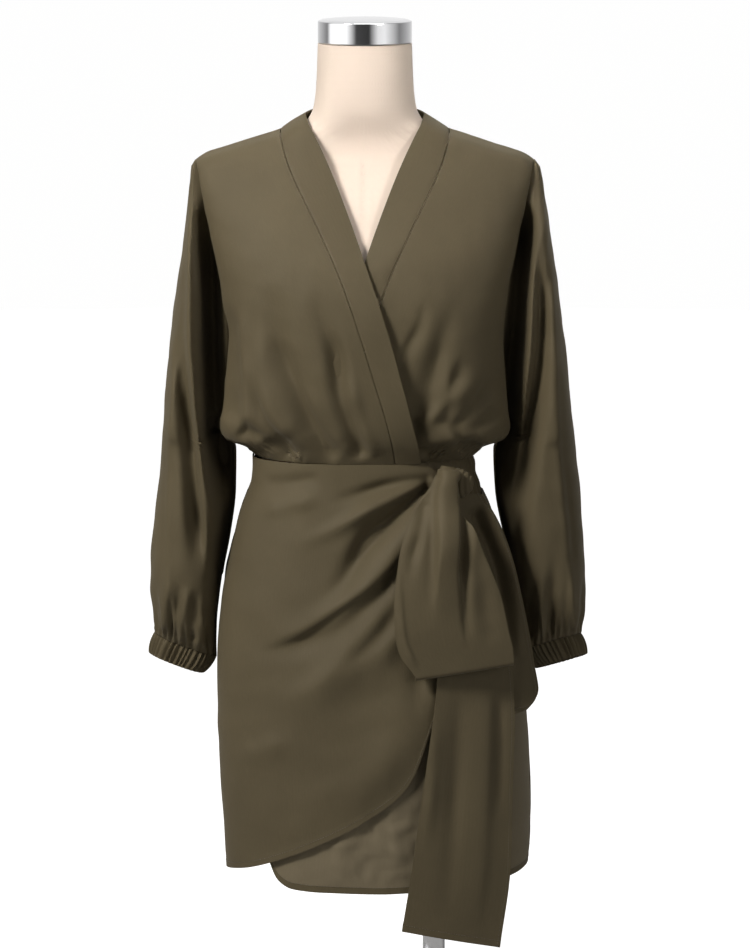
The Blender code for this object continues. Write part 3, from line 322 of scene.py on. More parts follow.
# ---- Finishes ----
class Wiring:
    """Puts shader nodes into a material's tree and joins them."""

    def __init__(self, name: str) -> None:
        """Starts the material with its Principled shader.

        Args:
            name: the material's name.
        """
        self.material = bpy.data.materials.new(name)
        self.material.use_nodes = True
        self.tree = self.material.node_tree
        self.shader = self.tree.nodes["Principled BSDF"]

    def add(self, kind: str, options: dict | None = None, **inputs: object) -> bpy.types.Node:
        """Adds a node.

        Args:
            kind: the node's type without its ShaderNode prefix.
            options: attributes to set on the node.
            inputs: values or sockets for its inputs, by name with _ for a space.

        Returns:
            The node.
        """
        made = self.tree.nodes.new("ShaderNode" + kind)
        for key, value in (options or {}).items():
            setattr(made, key, value)
        for key, value in inputs.items():
            self.set(made.inputs[int(key[1:]) if key[0] == "_" else key.replace("_", " ")], value)
        return made

    def finish(self, colour: Colour | None = None, **inputs: object) -> Material:
        """Sets or joins inputs of the shader.

        Args:
            colour: the material's plain colour, if it has one.
            inputs: values or sockets, by name with _ for a space.

        Returns:
            The finished material.
        """
        for key, value in inputs.items():
            self.set(self.shader.inputs[key.replace("_", " ")], value)
        if colour is not None:
            self.material.diffuse_color = (*colour, 1.0)
        return self.material

    def set(self, socket: Socket, value: object) -> None:
        """Sets an input.

        Args:
            socket: the input.
            value: its value, or the socket to join to it.
        """
        if isinstance(value, Socket):
            self.tree.links.new(value, socket)
        else:
            socket.default_value = value

    def ramp(self, factor: Socket,
             stops: Sequence[tuple[float, tuple]]) -> Socket:
        """A colour ramp.

        Args:
            factor: what it reads.
            stops: its places and colours.

        Returns:
            The socket of its colour.
        """
        made = self.add("ValToRGB", Fac=factor)
        elements = made.color_ramp.elements
        while len(elements) < len(stops):
            elements.new(0.5)
        for element, (place, colour) in zip(elements, stops):
            element.position = place
            element.color = (*colour, 1.0)
        return made.outputs["Color"]

    def bump(self, height: Socket, distance: float, strength: float,
             below: Socket | None = None) -> Socket:
        """A bump.

        Args:
            height: what it reads.
            distance: its height in metres.
            strength: how much of it shows.
            below: the normal that it lies over, if any.

        Returns:
            The socket of its normal.
        """
        made = self.add("Bump", Height=height, Distance=distance, Strength=strength)
        if below is not None:
            self.set(made.inputs["Normal"], below)
        return made.outputs["Normal"]


def shade(colour: Colour, by: float) -> Colour:
    """A colour made lighter or darker by a factor."""
    return tuple(min(1.0, c * by) for c in colour)


@dataclass(frozen=True)
class Crepe:
    """A soft woven crepe with a pebbled face, slight slubs and a dry sheen."""

    name: str
    colour: Colour = (0.097, 0.0775, 0.043)
    thread_pitch: float = 0.00052
    roughness: float = 0.66
    sheen: float = 0.14

    def material(self) -> Material:
        """Builds the cloth's material.

        Returns:
            The material.
        """
        w = Wiring(self.name)
        place = w.add("TexCoord")
        weft = w.add("Mapping", Vector=place.outputs["UV"], Scale=(1.0, 0.22, 1.0))
        pebble = w.add("TexNoise", Vector=place.outputs["UV"], Scale=1.15 / self.thread_pitch, Detail=2.0,
                       Roughness=0.55)
        slub = w.add("TexNoise", Vector=weft.outputs["Vector"], Scale=420.0, Detail=3.0, Roughness=0.6)
        warp = w.add("TexWave", {"wave_type": "BANDS", "bands_direction": "X"}, Vector=place.outputs["UV"],
                     Scale=1 / (self.thread_pitch * 20), Distortion=1.4, Detail=1.0)
        cloud = w.add("TexNoise", Vector=place.outputs["Object"], Scale=9.0, Detail=3.0, Roughness=0.5)
        rumple = w.add("TexNoise", Vector=place.outputs["Object"], Scale=46.0, Detail=2.0, Roughness=0.45)
        tone = w.add("Math", {"operation": "MULTIPLY_ADD"}, _0=slub.outputs["Fac"], _1=0.45,
                     _2=cloud.outputs["Fac"])
        colour = w.ramp(tone.outputs[0], [(0.3, shade(self.colour, 0.9)), (0.72, self.colour),
                                          (1.0, shade(self.colour, 1.1))])
        gloss = w.add("MapRange", Value=pebble.outputs["Fac"], To_Min=self.roughness - 0.07,
                      To_Max=self.roughness + 0.09)
        normal = w.bump(rumple.outputs["Fac"], 0.0012, 0.22)
        normal = w.bump(warp.outputs["Fac"], 0.00008, 0.35, normal)
        normal = w.bump(pebble.outputs["Fac"], 0.00022, 0.5, normal)
        return w.finish(self.colour, Base_Color=colour, Roughness=gloss.outputs["Result"], Normal=normal,
                        Specular_IOR_Level=0.18, Sheen_Weight=self.sheen, Sheen_Roughness=0.45,
                        Sheen_Tint=(0.62, 0.56, 0.44, 1.0))


@dataclass(frozen=True)
class Thread:
    """Sewing thread with a twist and a faint gloss."""

    name: str
    colour: Colour = (0.098, 0.082, 0.052)

    def material(self) -> Material:
        """Builds the thread's material.

        Returns:
            The material.
        """
        w = Wiring(self.name)
        place = w.add("TexCoord")
        fibre = w.add("TexNoise", Vector=place.outputs["Object"], Scale=3200.0, Detail=2.0)
        colour = w.ramp(fibre.outputs["Fac"], [(0.35, shade(self.colour, 0.82)),
                                               (0.65, shade(self.colour, 1.18))])
        normal = w.bump(fibre.outputs["Fac"], 0.0001, 0.4)
        return w.finish(Base_Color=colour, Normal=normal, Roughness=0.5, Sheen_Weight=0.2)


@dataclass(frozen=True)
class Jersey:
    """The form's cream jersey: fine knit ribs, a soft nap and slight pilling."""

    name: str
    colour: Colour = (0.82, 0.69, 0.575)
    rib_pitch: float = 0.0011

    def material(self) -> Material:
        """Builds the jersey's material.

        Returns:
            The material.
        """
        w = Wiring(self.name)
        place = w.add("TexCoord")
        ribs = w.add("TexWave", {"wave_type": "BANDS", "bands_direction": "X"}, Vector=place.outputs["UV"],
                     Scale=1 / (self.rib_pitch * 20), Distortion=0.6, Detail=1.0)
        loops = w.add("TexWave", {"wave_type": "BANDS", "bands_direction": "Y"}, Vector=place.outputs["UV"],
                      Scale=1 / (self.rib_pitch * 26), Distortion=1.0, Detail=1.0)
        nap = w.add("TexNoise", Vector=place.outputs["Object"], Scale=1500.0, Detail=3.0)
        cloud = w.add("TexNoise", Vector=place.outputs["Object"], Scale=11.0, Detail=3.0, Roughness=0.55)
        knit = w.add("Math", {"operation": "MULTIPLY"}, _0=ribs.outputs["Fac"], _1=loops.outputs["Fac"])
        colour = w.ramp(cloud.outputs["Fac"], [(0.3, shade(self.colour, 0.955)), (0.7, self.colour)])
        gloss = w.add("MapRange", Value=nap.outputs["Fac"], To_Min=0.74, To_Max=0.88)
        normal = w.bump(knit.outputs[0], 0.00018, 0.45)
        normal = w.bump(nap.outputs["Fac"], 0.00015, 0.3, normal)
        return w.finish(self.colour, Base_Color=colour, Roughness=gloss.outputs["Result"], Normal=normal,
                        Sheen_Weight=0.15, Sheen_Roughness=0.5)


@dataclass(frozen=True)
class Chrome:
    """Polished metal with fine lathe marks and faint smudges."""

    name: str
    colour: Colour = (0.8, 0.8, 0.81)
    roughness: float = 0.1
    turned_pitch: float = 0.0009

    def material(self) -> Material:
        """Builds the metal's material.

        Returns:
            The material.
        """
        w = Wiring(self.name)
        place = w.add("TexCoord")
        lathe = w.add("Mapping", Vector=place.outputs["Object"], Scale=(0.02, 0.02, 1.0))
        marks = w.add("TexNoise", Vector=lathe.outputs["Vector"], Scale=0.6 / self.turned_pitch, Detail=4.0)
        smudge = w.add("TexNoise", Vector=place.outputs["Object"], Scale=38.0, Detail=4.0, Roughness=0.6)
        gloss = w.add("MapRange", Value=smudge.outputs["Fac"], To_Min=self.roughness * 0.7,
                      To_Max=self.roughness * 1.5)
        normal = w.bump(marks.outputs["Fac"], 0.00004, 0.25)
        colour = w.ramp(smudge.outputs["Fac"], [(0.3, shade(self.colour, 0.96)), (0.7, self.colour)])
        return w.finish(self.colour, Base_Color=colour, Roughness=gloss.outputs["Result"], Normal=normal,
                        Metallic=1.0)


# ---- Meshes ----
def mesh_piece(name: str, points: np.ndarray, faces: list[list[int]], uv: np.ndarray | None,
               look: Material, crease_angle: float = 55.0) -> Object:
    """Makes one mesh object of quads or triangles that rides on the part.

    Args:
        name: the piece's name.
        points: its points.
        faces: the indices of each face's points.
        uv: cloth coordinates of each point in metres, or None.
        look: its material.
        crease_angle: edges sharper than this many degrees aren't smoothed over.

    Returns:
        The new object.
    """
    mesh = bpy.data.meshes.new(name)
    mesh.from_pydata(points.reshape(-1, 3).tolist(), [], faces)
    if uv is not None:
        layer = mesh.uv_layers.new(name="cloth")
        corner = np.zeros(len(mesh.loops), np.int32)
        mesh.loops.foreach_get("vertex_index", corner)
        layer.data.foreach_set("uv", uv.reshape(-1, 2)[corner].astype(np.float32).ravel())
    mesh.validate()
    mesh.materials.append(look)
    made = bpy.data.objects.new(name, mesh)
    bpy.context.scene.collection.objects.link(made)
    mesh.shade_smooth()
    mesh.set_sharp_from_angle(angle=radians(crease_angle))
    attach(made, "root")
    return made


def grid_faces(rows: int, columns: int, start: int, closed: bool, flip: bool) -> np.ndarray:
    """Quads over a grid of points.

    Args:
        rows: its rows.
        columns: its columns.
        start: the first point's index.
        closed: whether the last column joins the first.
        flip: whether they face the other way.

    Returns:
        The points' indices, a row for each quad.
    """
    i, j = np.meshgrid(np.arange(rows - 1), np.arange(columns if closed else columns - 1), indexing="ij")
    k = (j + 1) % columns
    here, below = i * columns, (i + 1) * columns
    quads = np.stack([here + j, here + k, below + k, below + j], axis=-1)
    quads = quads.reshape(-1, 4) + start
    return quads[:, ::-1] if flip else quads


def turned_piece(name: str, profile: Line, x: float, look: Material,
                 segments: int = 144) -> Object:
    """A solid of revolution about the vertical line at x.

    Args:
        name: the piece's name.
        profile: its radii and heights, foot to top.
        x: where its axis stands.
        look: its material.
        segments: how many steps it takes round.

    Returns:
        The new object.
    """
    angle = np.linspace(0, 2 * np.pi, segments, endpoint=False)
    rings = np.array([np.stack([x + r * np.cos(angle), r * np.sin(angle), np.full(segments, z)], axis=1)
                      for r, z in profile])
    return capped(name, rings, look, 30.0)


def capped(name: str, rings: np.ndarray, look: Material,
           crease_angle: float = 50.0) -> Object:
    """A closed solid through rings of points, with a flat fan over each end.

    Args:
        name: the piece's name.
        rings: the rings, all of as many points.
        look: its material.
        crease_angle: as for mesh_piece.

    Returns:
        The new object.
    """
    count, around = rings.shape[:2]
    points = np.concatenate([rings.reshape(-1, 3), [rings[0].mean(axis=0), rings[-1].mean(axis=0)]])
    k = np.arange(around)
    n = (k + 1) % around
    base = (count - 1) * around
    low = np.stack([n, k, np.full(around, count * around)], axis=1)
    high = np.stack([base + k, base + n, np.full(around, count * around + 1)], axis=1)
    faces = grid_faces(count, around, 0, True, False).tolist() + low.tolist() + high.tolist()
    reach = np.tile(k / around * 2 * np.pi * SPREAD_RADIUS, count)
    uv = np.concatenate([np.stack([reach, rings[:, :, 2].ravel()], axis=1), np.zeros((2, 2))])
    return mesh_piece(name, points, faces, uv, look, crease_angle)


@dataclass(frozen=True)
class Cut:
    """The flat cut of what shows of a piece, and how it is held."""

    width: float
    length: float
    area: float
    held: str
    rests_on: str = "form_torso_jersey"


@dataclass
class Panel:
    """One piece of cloth: a grid of points on its outer face that is dressed and then made a shell."""

    node: str
    grid: Grid
    cut: Cut
    centre: Sequence | np.ndarray = (0.0, 0.0, 0.6)
    closed: bool = False
    hems: dict[Edge, float] = field(default_factory=dict)
    thickness: float = CLOTH

    @property
    def name(self) -> str:
        """The name of the shell that stands for the node's solid."""
        return self.node + "_crepe"

    def lift(self, height: np.ndarray, level: np.ndarray | float = 0.0) -> None:
        """Moves the outer face along its normals.

        Args:
            height: how far each point moves.
            level: 1 where it moves level with the floor instead.
        """
        way = outward(self.grid, self.centre, self.closed)
        way[..., 2] *= 1 - level
        way /= np.linalg.norm(way, axis=2, keepdims=True)
        self.grid = self.grid + way * height[..., None]

    def crease(self, creases: Sequence[Crease], held: np.ndarray | float = 1.0,
               floor_y: float | None = None) -> None:
        """Presses creases into the side of the cloth that faces the front, where held isn't zero.

        Args:
            creases: the creases.
            held: how freely each point moves, 0 to 1.
            floor_y: presses them straight back, and no farther than this Y, so that a deep one
                keeps clear of the outline and of the cloth behind it.
        """
        normal = outward(self.grid, self.centre, self.closed)
        facing = ease(0.25, -0.25, normal[..., 1])
        lift = sum(crease.lift(self.grid[..., 0], self.grid[..., 2]) for crease in creases) * facing * held
        if floor_y is None:
            self.grid = self.grid + normal * lift[..., None]
            return
        y = self.grid[..., 1]
        pressed = np.maximum(y, np.minimum(y - lift, floor_y))
        self.grid = self.grid.copy()
        self.grid[..., 1] = np.where(lift < 0, pressed, y - lift)

    def steps(self, axis: int) -> np.ndarray:
        """How far each point lies along the grid's lines.

        Args:
            axis: 0 to measure down from the first row, 1 across from the first column.

        Returns:
            The distances in metres.
        """
        gaps = np.linalg.norm(np.diff(self.grid, axis=axis), axis=2)
        start = np.zeros_like(gaps[:1] if axis == 0 else gaps[:, :1])
        return np.concatenate([start, np.cumsum(gaps, axis=axis)], axis=axis)

    def from_edge(self, edge: Edge) -> np.ndarray:
        """How far each point lies from an edge, along the grid's lines.

        Args:
            edge: the edge.

        Returns:
            The distances in metres.
        """
        far = self.steps(0 if edge in (Edge.TOP, Edge.FOOT) else 1)
        if edge is Edge.FOOT:
            return far[-1:] - far
        if edge is Edge.LAST:
            return far[:, -1:] - far
        return far

    def hem(self) -> np.ndarray:
        """Raises the turned-up hems a little over their stitch line.

        Returns:
            The thickness of the cloth at each point.
        """
        wall = np.full(self.grid.shape[:2], self.thickness)
        rise = np.zeros(self.grid.shape[:2])
        for edge, width in self.hems.items():
            away = self.from_edge(edge)
            inside = ease(width + 0.0012, width - 0.0004, away)
            wall = np.maximum(wall, self.thickness + (HEMMED - self.thickness) * inside)
            pucker = 0.55 + 0.45 * np.sin(self.steps(1 if edge in (Edge.TOP, Edge.FOOT) else 0) * 900.0)
            groove = np.exp(-(((away - width + STITCH_INSET) / 0.0009) ** 2)) * pucker
            rise += 0.00035 * inside - 0.00045 * groove
        self.lift(rise)
        return wall

    def build(self, look: Material, doubled: Material | None = None) -> Object:
        """Makes the shell and lets it stand for its solid.

        Args:
            look: the cloth's material.
            doubled: the material of its turned-up hem, if that differs.

        Returns:
            The new object.
        """
        wall = self.hem()
        inner = self.grid - outward(self.grid, self.centre, self.closed) * wall[..., None]
        rows, columns = self.grid.shape[:2]
        count = rows * columns
        sides = [grid_faces(rows, columns, 0, self.closed, False),
                 grid_faces(rows, columns, count, self.closed, True)]
        across = np.arange(columns if self.closed else columns - 1)
        following = (across + 1) % columns
        sides.append(np.stack([across, across + count, following + count, following], axis=1))
        across, following = across + (rows - 1) * columns, following + (rows - 1) * columns
        sides.append(np.stack([across, following, following + count, across + count], axis=1))
        if not self.closed:
            down = np.arange(rows - 1) * columns
            after = down + columns
            sides.append(np.stack([down, after, after + count, down + count], axis=1))
            down, after = down + columns - 1, after + columns - 1
            sides.append(np.stack([down, down + count, after + count, after], axis=1))
        reach = self.steps(1).mean(axis=0, keepdims=True) + np.zeros((rows, 1))
        uv = np.stack([reach, self.steps(0)], axis=-1)
        points = np.concatenate([self.grid.reshape(-1, 3), inner.reshape(-1, 3)])
        made = mesh_piece(self.name, points, np.concatenate(sides).tolist(), np.concatenate([uv, uv]), look)
        if doubled is not None:
            made.data.materials.append(doubled)
            band = (self.from_edge(Edge.FOOT) < self.hems[Edge.FOOT])[:-1, :-1].ravel().astype(int)
            index = np.zeros(len(made.data.polygons), int)
            index[:2 * len(band)] = np.tile(band, 2)
            made.data.polygons.foreach_set("material_index", index)
        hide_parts(self.node)
        return made

    def declare(self, made: Object, pieces: Sequence[Object] = ()) -> None:
        """Args:
            made: the shell, not used.
            pieces: the separate pieces on it, not used.
        """

    def run(self, edge: Edge, inset: float) -> np.ndarray:
        """A line on the outer face beside an edge.

        Args:
            edge: the edge.
            inset: how far from it.

        Returns:
            Points and their normals, six numbers a row.
        """
        away = self.from_edge(edge)
        normal = outward(self.grid, self.centre, self.closed)
        grid = self.grid
        if edge in (Edge.FIRST, Edge.LAST):
            away, grid, normal = away.T, grid.transpose(1, 0, 2), normal.transpose(1, 0, 2)
        points = []
        for k in range(grid.shape[1]):
            order = np.argsort(away[:, k])
            both = np.concatenate([grid[order, k], normal[order, k]], axis=1)
            points.append([np.interp(inset, away[order, k], both[:, c]) for c in range(6)])
        return np.array(points)


@dataclass
class Stitching:
    """Lines of stitches on a piece of cloth, joined into one piece."""

    name: str
    pitch: float = 0.003
    length: float = 0.0021
    radius: float = 0.00028
    runs: list[np.ndarray] = field(default_factory=list)

    def add(self, panel: Panel, edge: Edge, *insets: float) -> None:
        """Adds lines along an edge of a panel, at distances from it."""
        for inset in insets:
            self.runs.append(panel.run(edge, inset))

    def stitches(self, run: np.ndarray) -> tuple[np.ndarray, np.ndarray]:
        """Divides a line into stitches, just proud of the cloth.

        Args:
            run: the line's points and normals.

        Returns:
            The start and the end of each stitch.
        """
        length = np.concatenate([[0], np.cumsum(np.linalg.norm(np.diff(run[:, :3], axis=0), axis=1))])
        count = max(2, int(length[-1] / self.pitch))
        starts = (np.arange(count) + 0.5) * length[-1] / count - self.length / 2

        def at(places: np.ndarray) -> np.ndarray:
            """Points over the cloth at distances along the line."""
            both = np.stack([np.interp(places, length, run[:, c]) for c in range(6)], axis=1)
            return both[:, :3] + both[:, 3:] * self.radius * 0.35

        return at(starts), at(starts + self.length)

    def build(self, look: Material) -> Object:
        """Makes every stitch a small rounded thread.

        Args:
            look: the thread's material.

        Returns:
            The new object.
        """
        sides = 5
        pairs = [self.stitches(run) for run in self.runs]
        start, end = np.concatenate([p[0] for p in pairs]), np.concatenate([p[1] for p in pairs])
        way = end - start
        way /= np.linalg.norm(way, axis=1, keepdims=True)
        aside = np.cross(way, (0.31, 0.77, 0.55))
        aside /= np.linalg.norm(aside, axis=1, keepdims=True)
        over = np.cross(way, aside)
        turn = np.linspace(0, 2 * np.pi, sides, endpoint=False)
        circle = aside[:, None] * np.cos(turn)[None, :, None] + over[:, None] * np.sin(turn)[None, :, None]
        rings = []
        for share, width in ((0.0, 0.25), (0.18, 0.85), (0.5, 1.0), (0.82, 0.85), (1.0, 0.25)):
            middle = start + (end - start) * share
            rings.append(middle[:, None] + circle * self.radius * width)
        points = np.stack(rings, axis=1).reshape(-1, 3)
        one = grid_faces(5, sides, 0, True, False)
        faces = (np.arange(len(start))[:, None, None] * 5 * sides + one[None]).reshape(-1, 4).tolist()
        made = mesh_piece(self.name, points, faces, None, look, 80)
        return made


# ---- The form and its stand ----
@dataclass
class DressForm:
    """The jersey torso with its polished neck cap, socket, pole, collar and foot."""

    base_radius: float = 0.175
    base_height: float = 0.012
    pole_radius: float = 0.0125
    cap_radius: float = 0.052
    cap_height: float = 0.0245
    cap_dome: float = 0.0035
    seam_depth: float = 0.0007
    seam_width: float = 0.0012
    sections: Sections = Sections("z half_width front back", (
        (FORM_BOTTOM_Z, 0.149, 0.086, 0.1), (0.42, 0.155, 0.092, 0.109), (0.48, 0.151, 0.094, 0.11),
        (0.54, 0.139, 0.092, 0.094), (0.59, 0.1235, 0.087, 0.076), (0.64, 0.115, 0.082, 0.068),
        (0.7, 0.119, 0.088, 0.073), (0.76, 0.129, 0.104, 0.083), (0.81, 0.137, 0.113, 0.092),
        (0.86, 0.145, 0.101, 0.097), (0.91, 0.157, 0.079, 0.094), (0.945, 0.165, 0.06, 0.084),
        (0.962, 0.165, 0.047, 0.066), (0.975, 0.153, 0.039, 0.053), (0.988, 0.122, 0.037, 0.047),
        (1.0, 0.088, 0.039, 0.046), (1.011, 0.0655, 0.044, 0.048), (1.026, 0.0572, 0.049, 0.05),
        (1.05, 0.054, 0.051, 0.051), (NECK_TOP_Z, 0.052, 0.052, 0.052)))

    def torso(self, look: Material) -> Object:
        """The torso and neck, with the seams of its jersey cover pressed in.

        Args:
            look: the jersey.

        Returns:
            The new object.
        """
        around, down = 240, 170
        z = np.linspace(FORM_BOTTOM_Z, NECK_TOP_Z, down)[:, None]
        turn = np.linspace(0, 2 * np.pi, around, endpoint=False)[None, :]
        wide, deep = squircle(turn)
        depth = np.where(np.cos(turn) > 0, self.sections.read("front", z), self.sections.read("back", z))
        x, y = self.sections.read("half_width", z) * wide, -depth * deep
        level = np.broadcast_to(z, x.shape)
        rounding = 0.006 * (1 - np.sqrt(1 - np.clip(1 - (level - FORM_BOTTOM_Z) / 0.006, 0, 1) ** 2))
        grid = np.stack([x, y, level], axis=2)
        front = y < 0
        neck_line = 1.006 + 0.012 * (x / 0.07) ** 2 + np.where(front, -0.016, 0.004) * (1 - (x / 0.07) ** 2)
        seams = [x, np.where(front, np.abs(x) - self.princess(level), 1.0), level - neck_line,
                 np.where(front, 1.0, np.abs(x) - self.princess(level) * 0.92),
                 np.where(np.abs(wide) > 0.9, y + 0.004, 1.0)]
        ditch = np.zeros_like(x)
        for k, gap in enumerate(seams):
            shown = 1.0 if k == 2 else ease(neck_line + 0.001, neck_line - 0.001, level)
            ditch = ditch + shown * (np.exp(-((gap / self.seam_width) ** 2))
                                     - 0.35 * np.exp(-(((np.abs(gap) - 0.0042) / 0.0018) ** 2)))
        dimple = -self.seam_depth * ditch - rounding
        grid = grid + outward(grid, (0, 0, 0.75), True) * dimple[..., None]
        made = capped("form_torso_jersey", grid, look)
        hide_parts("form_torso")
        return made

    def princess(self, z: np.ndarray) -> np.ndarray:
        """How far from the centre the seam over the bust runs at height z."""
        return through([0.36, 0.5, 0.64, 0.8, 0.9, 0.99], [0.08, 0.072, 0.052, 0.078, 0.074, 0.08], z)

    def neck_cap(self, look: Material) -> Object:
        """The polished cap with its rounded rim.

        Args:
            look: the metal.

        Returns:
            The new object.
        """
        foot, r = NECK_TOP_Z + SEAM_GAP, self.cap_radius
        top = foot + self.cap_height
        rim = [(r - 0.0014 + 0.0014 * sin(a), top - 0.0014 + 0.0014 * cos(a))
               for a in np.linspace(pi / 2, 0, 6)]
        dome = [(r * s, top + self.cap_dome * (1 - s * s) ** 0.8 + 0.0002)
                for s in (0.93, 0.8, 0.6, 0.4, 0.2, 0.05)]
        wall = [(r, foot + 0.0012), (r, foot + 0.0016), (r, top - 0.0021), (r, top - 0.0016)]
        profile = [(r - 0.0012, foot), (r - 0.0002, foot + 0.0004), *wall, *rim, *dome]
        made = turned_piece("form_neck_cap_polished", profile, 0.0, look)
        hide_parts("form_neck_cap")
        return made

    def stand(self, look: Material) -> list[Object]:
        """The foot, collar, pole and socket, with rounded edges.

        Args:
            look: the metal.

        Returns:
            The new objects.
        """
        collar_foot = self.base_height + SEAM_GAP
        collar_top = collar_foot + 0.014
        socket_top = FORM_BOTTOM_Z - SEAM_GAP
        socket_foot = socket_top - 0.018
        r, h = self.base_radius, self.base_height
        edge = [(r - 0.004 + 0.004 * cos(a), h - 0.004 + 0.004 * sin(a))
                for a in np.linspace(0, 1.57, 7)]
        pole = self.pole_radius
        shapes = {
            "stand_base": (0.0, [(r - 0.001, 0.0), (r, 0.001), (r, 0.0014), (r, h - 0.0045), *edge,
                                 (r - 0.006, h), (r * 0.5, h + 0.0001), (0.03, h + 0.0002)]),
            "stand_collar": (POLE_X, [(0.0255, collar_foot), (0.026, collar_foot + 0.0005),
                                      (0.026, collar_top - 0.006), (0.0252, collar_top - 0.0036),
                                      (0.023, collar_top - 0.0015), (0.019, collar_top),
                                      (0.0135, collar_top)]),
            "stand_pole": (POLE_X, [(pole, collar_top + SEAM_GAP), (pole, collar_top + 0.001), (pole, 0.19),
                                    (pole, socket_foot - 0.001), (pole, socket_foot - SEAM_GAP)]),
            "form_socket": (POLE_X, [(0.0195, socket_foot), (0.0205, socket_foot + 0.001),
                                     (0.0315, socket_foot + 0.0095), (0.032, socket_foot + 0.011),
                                     (0.032, socket_top)]),
        }
        made = []
        for node, (x, profile) in shapes.items():
            piece = turned_piece(node + "_polished", profile, x, look)
            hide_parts(node)
            made.append(piece)
        return made


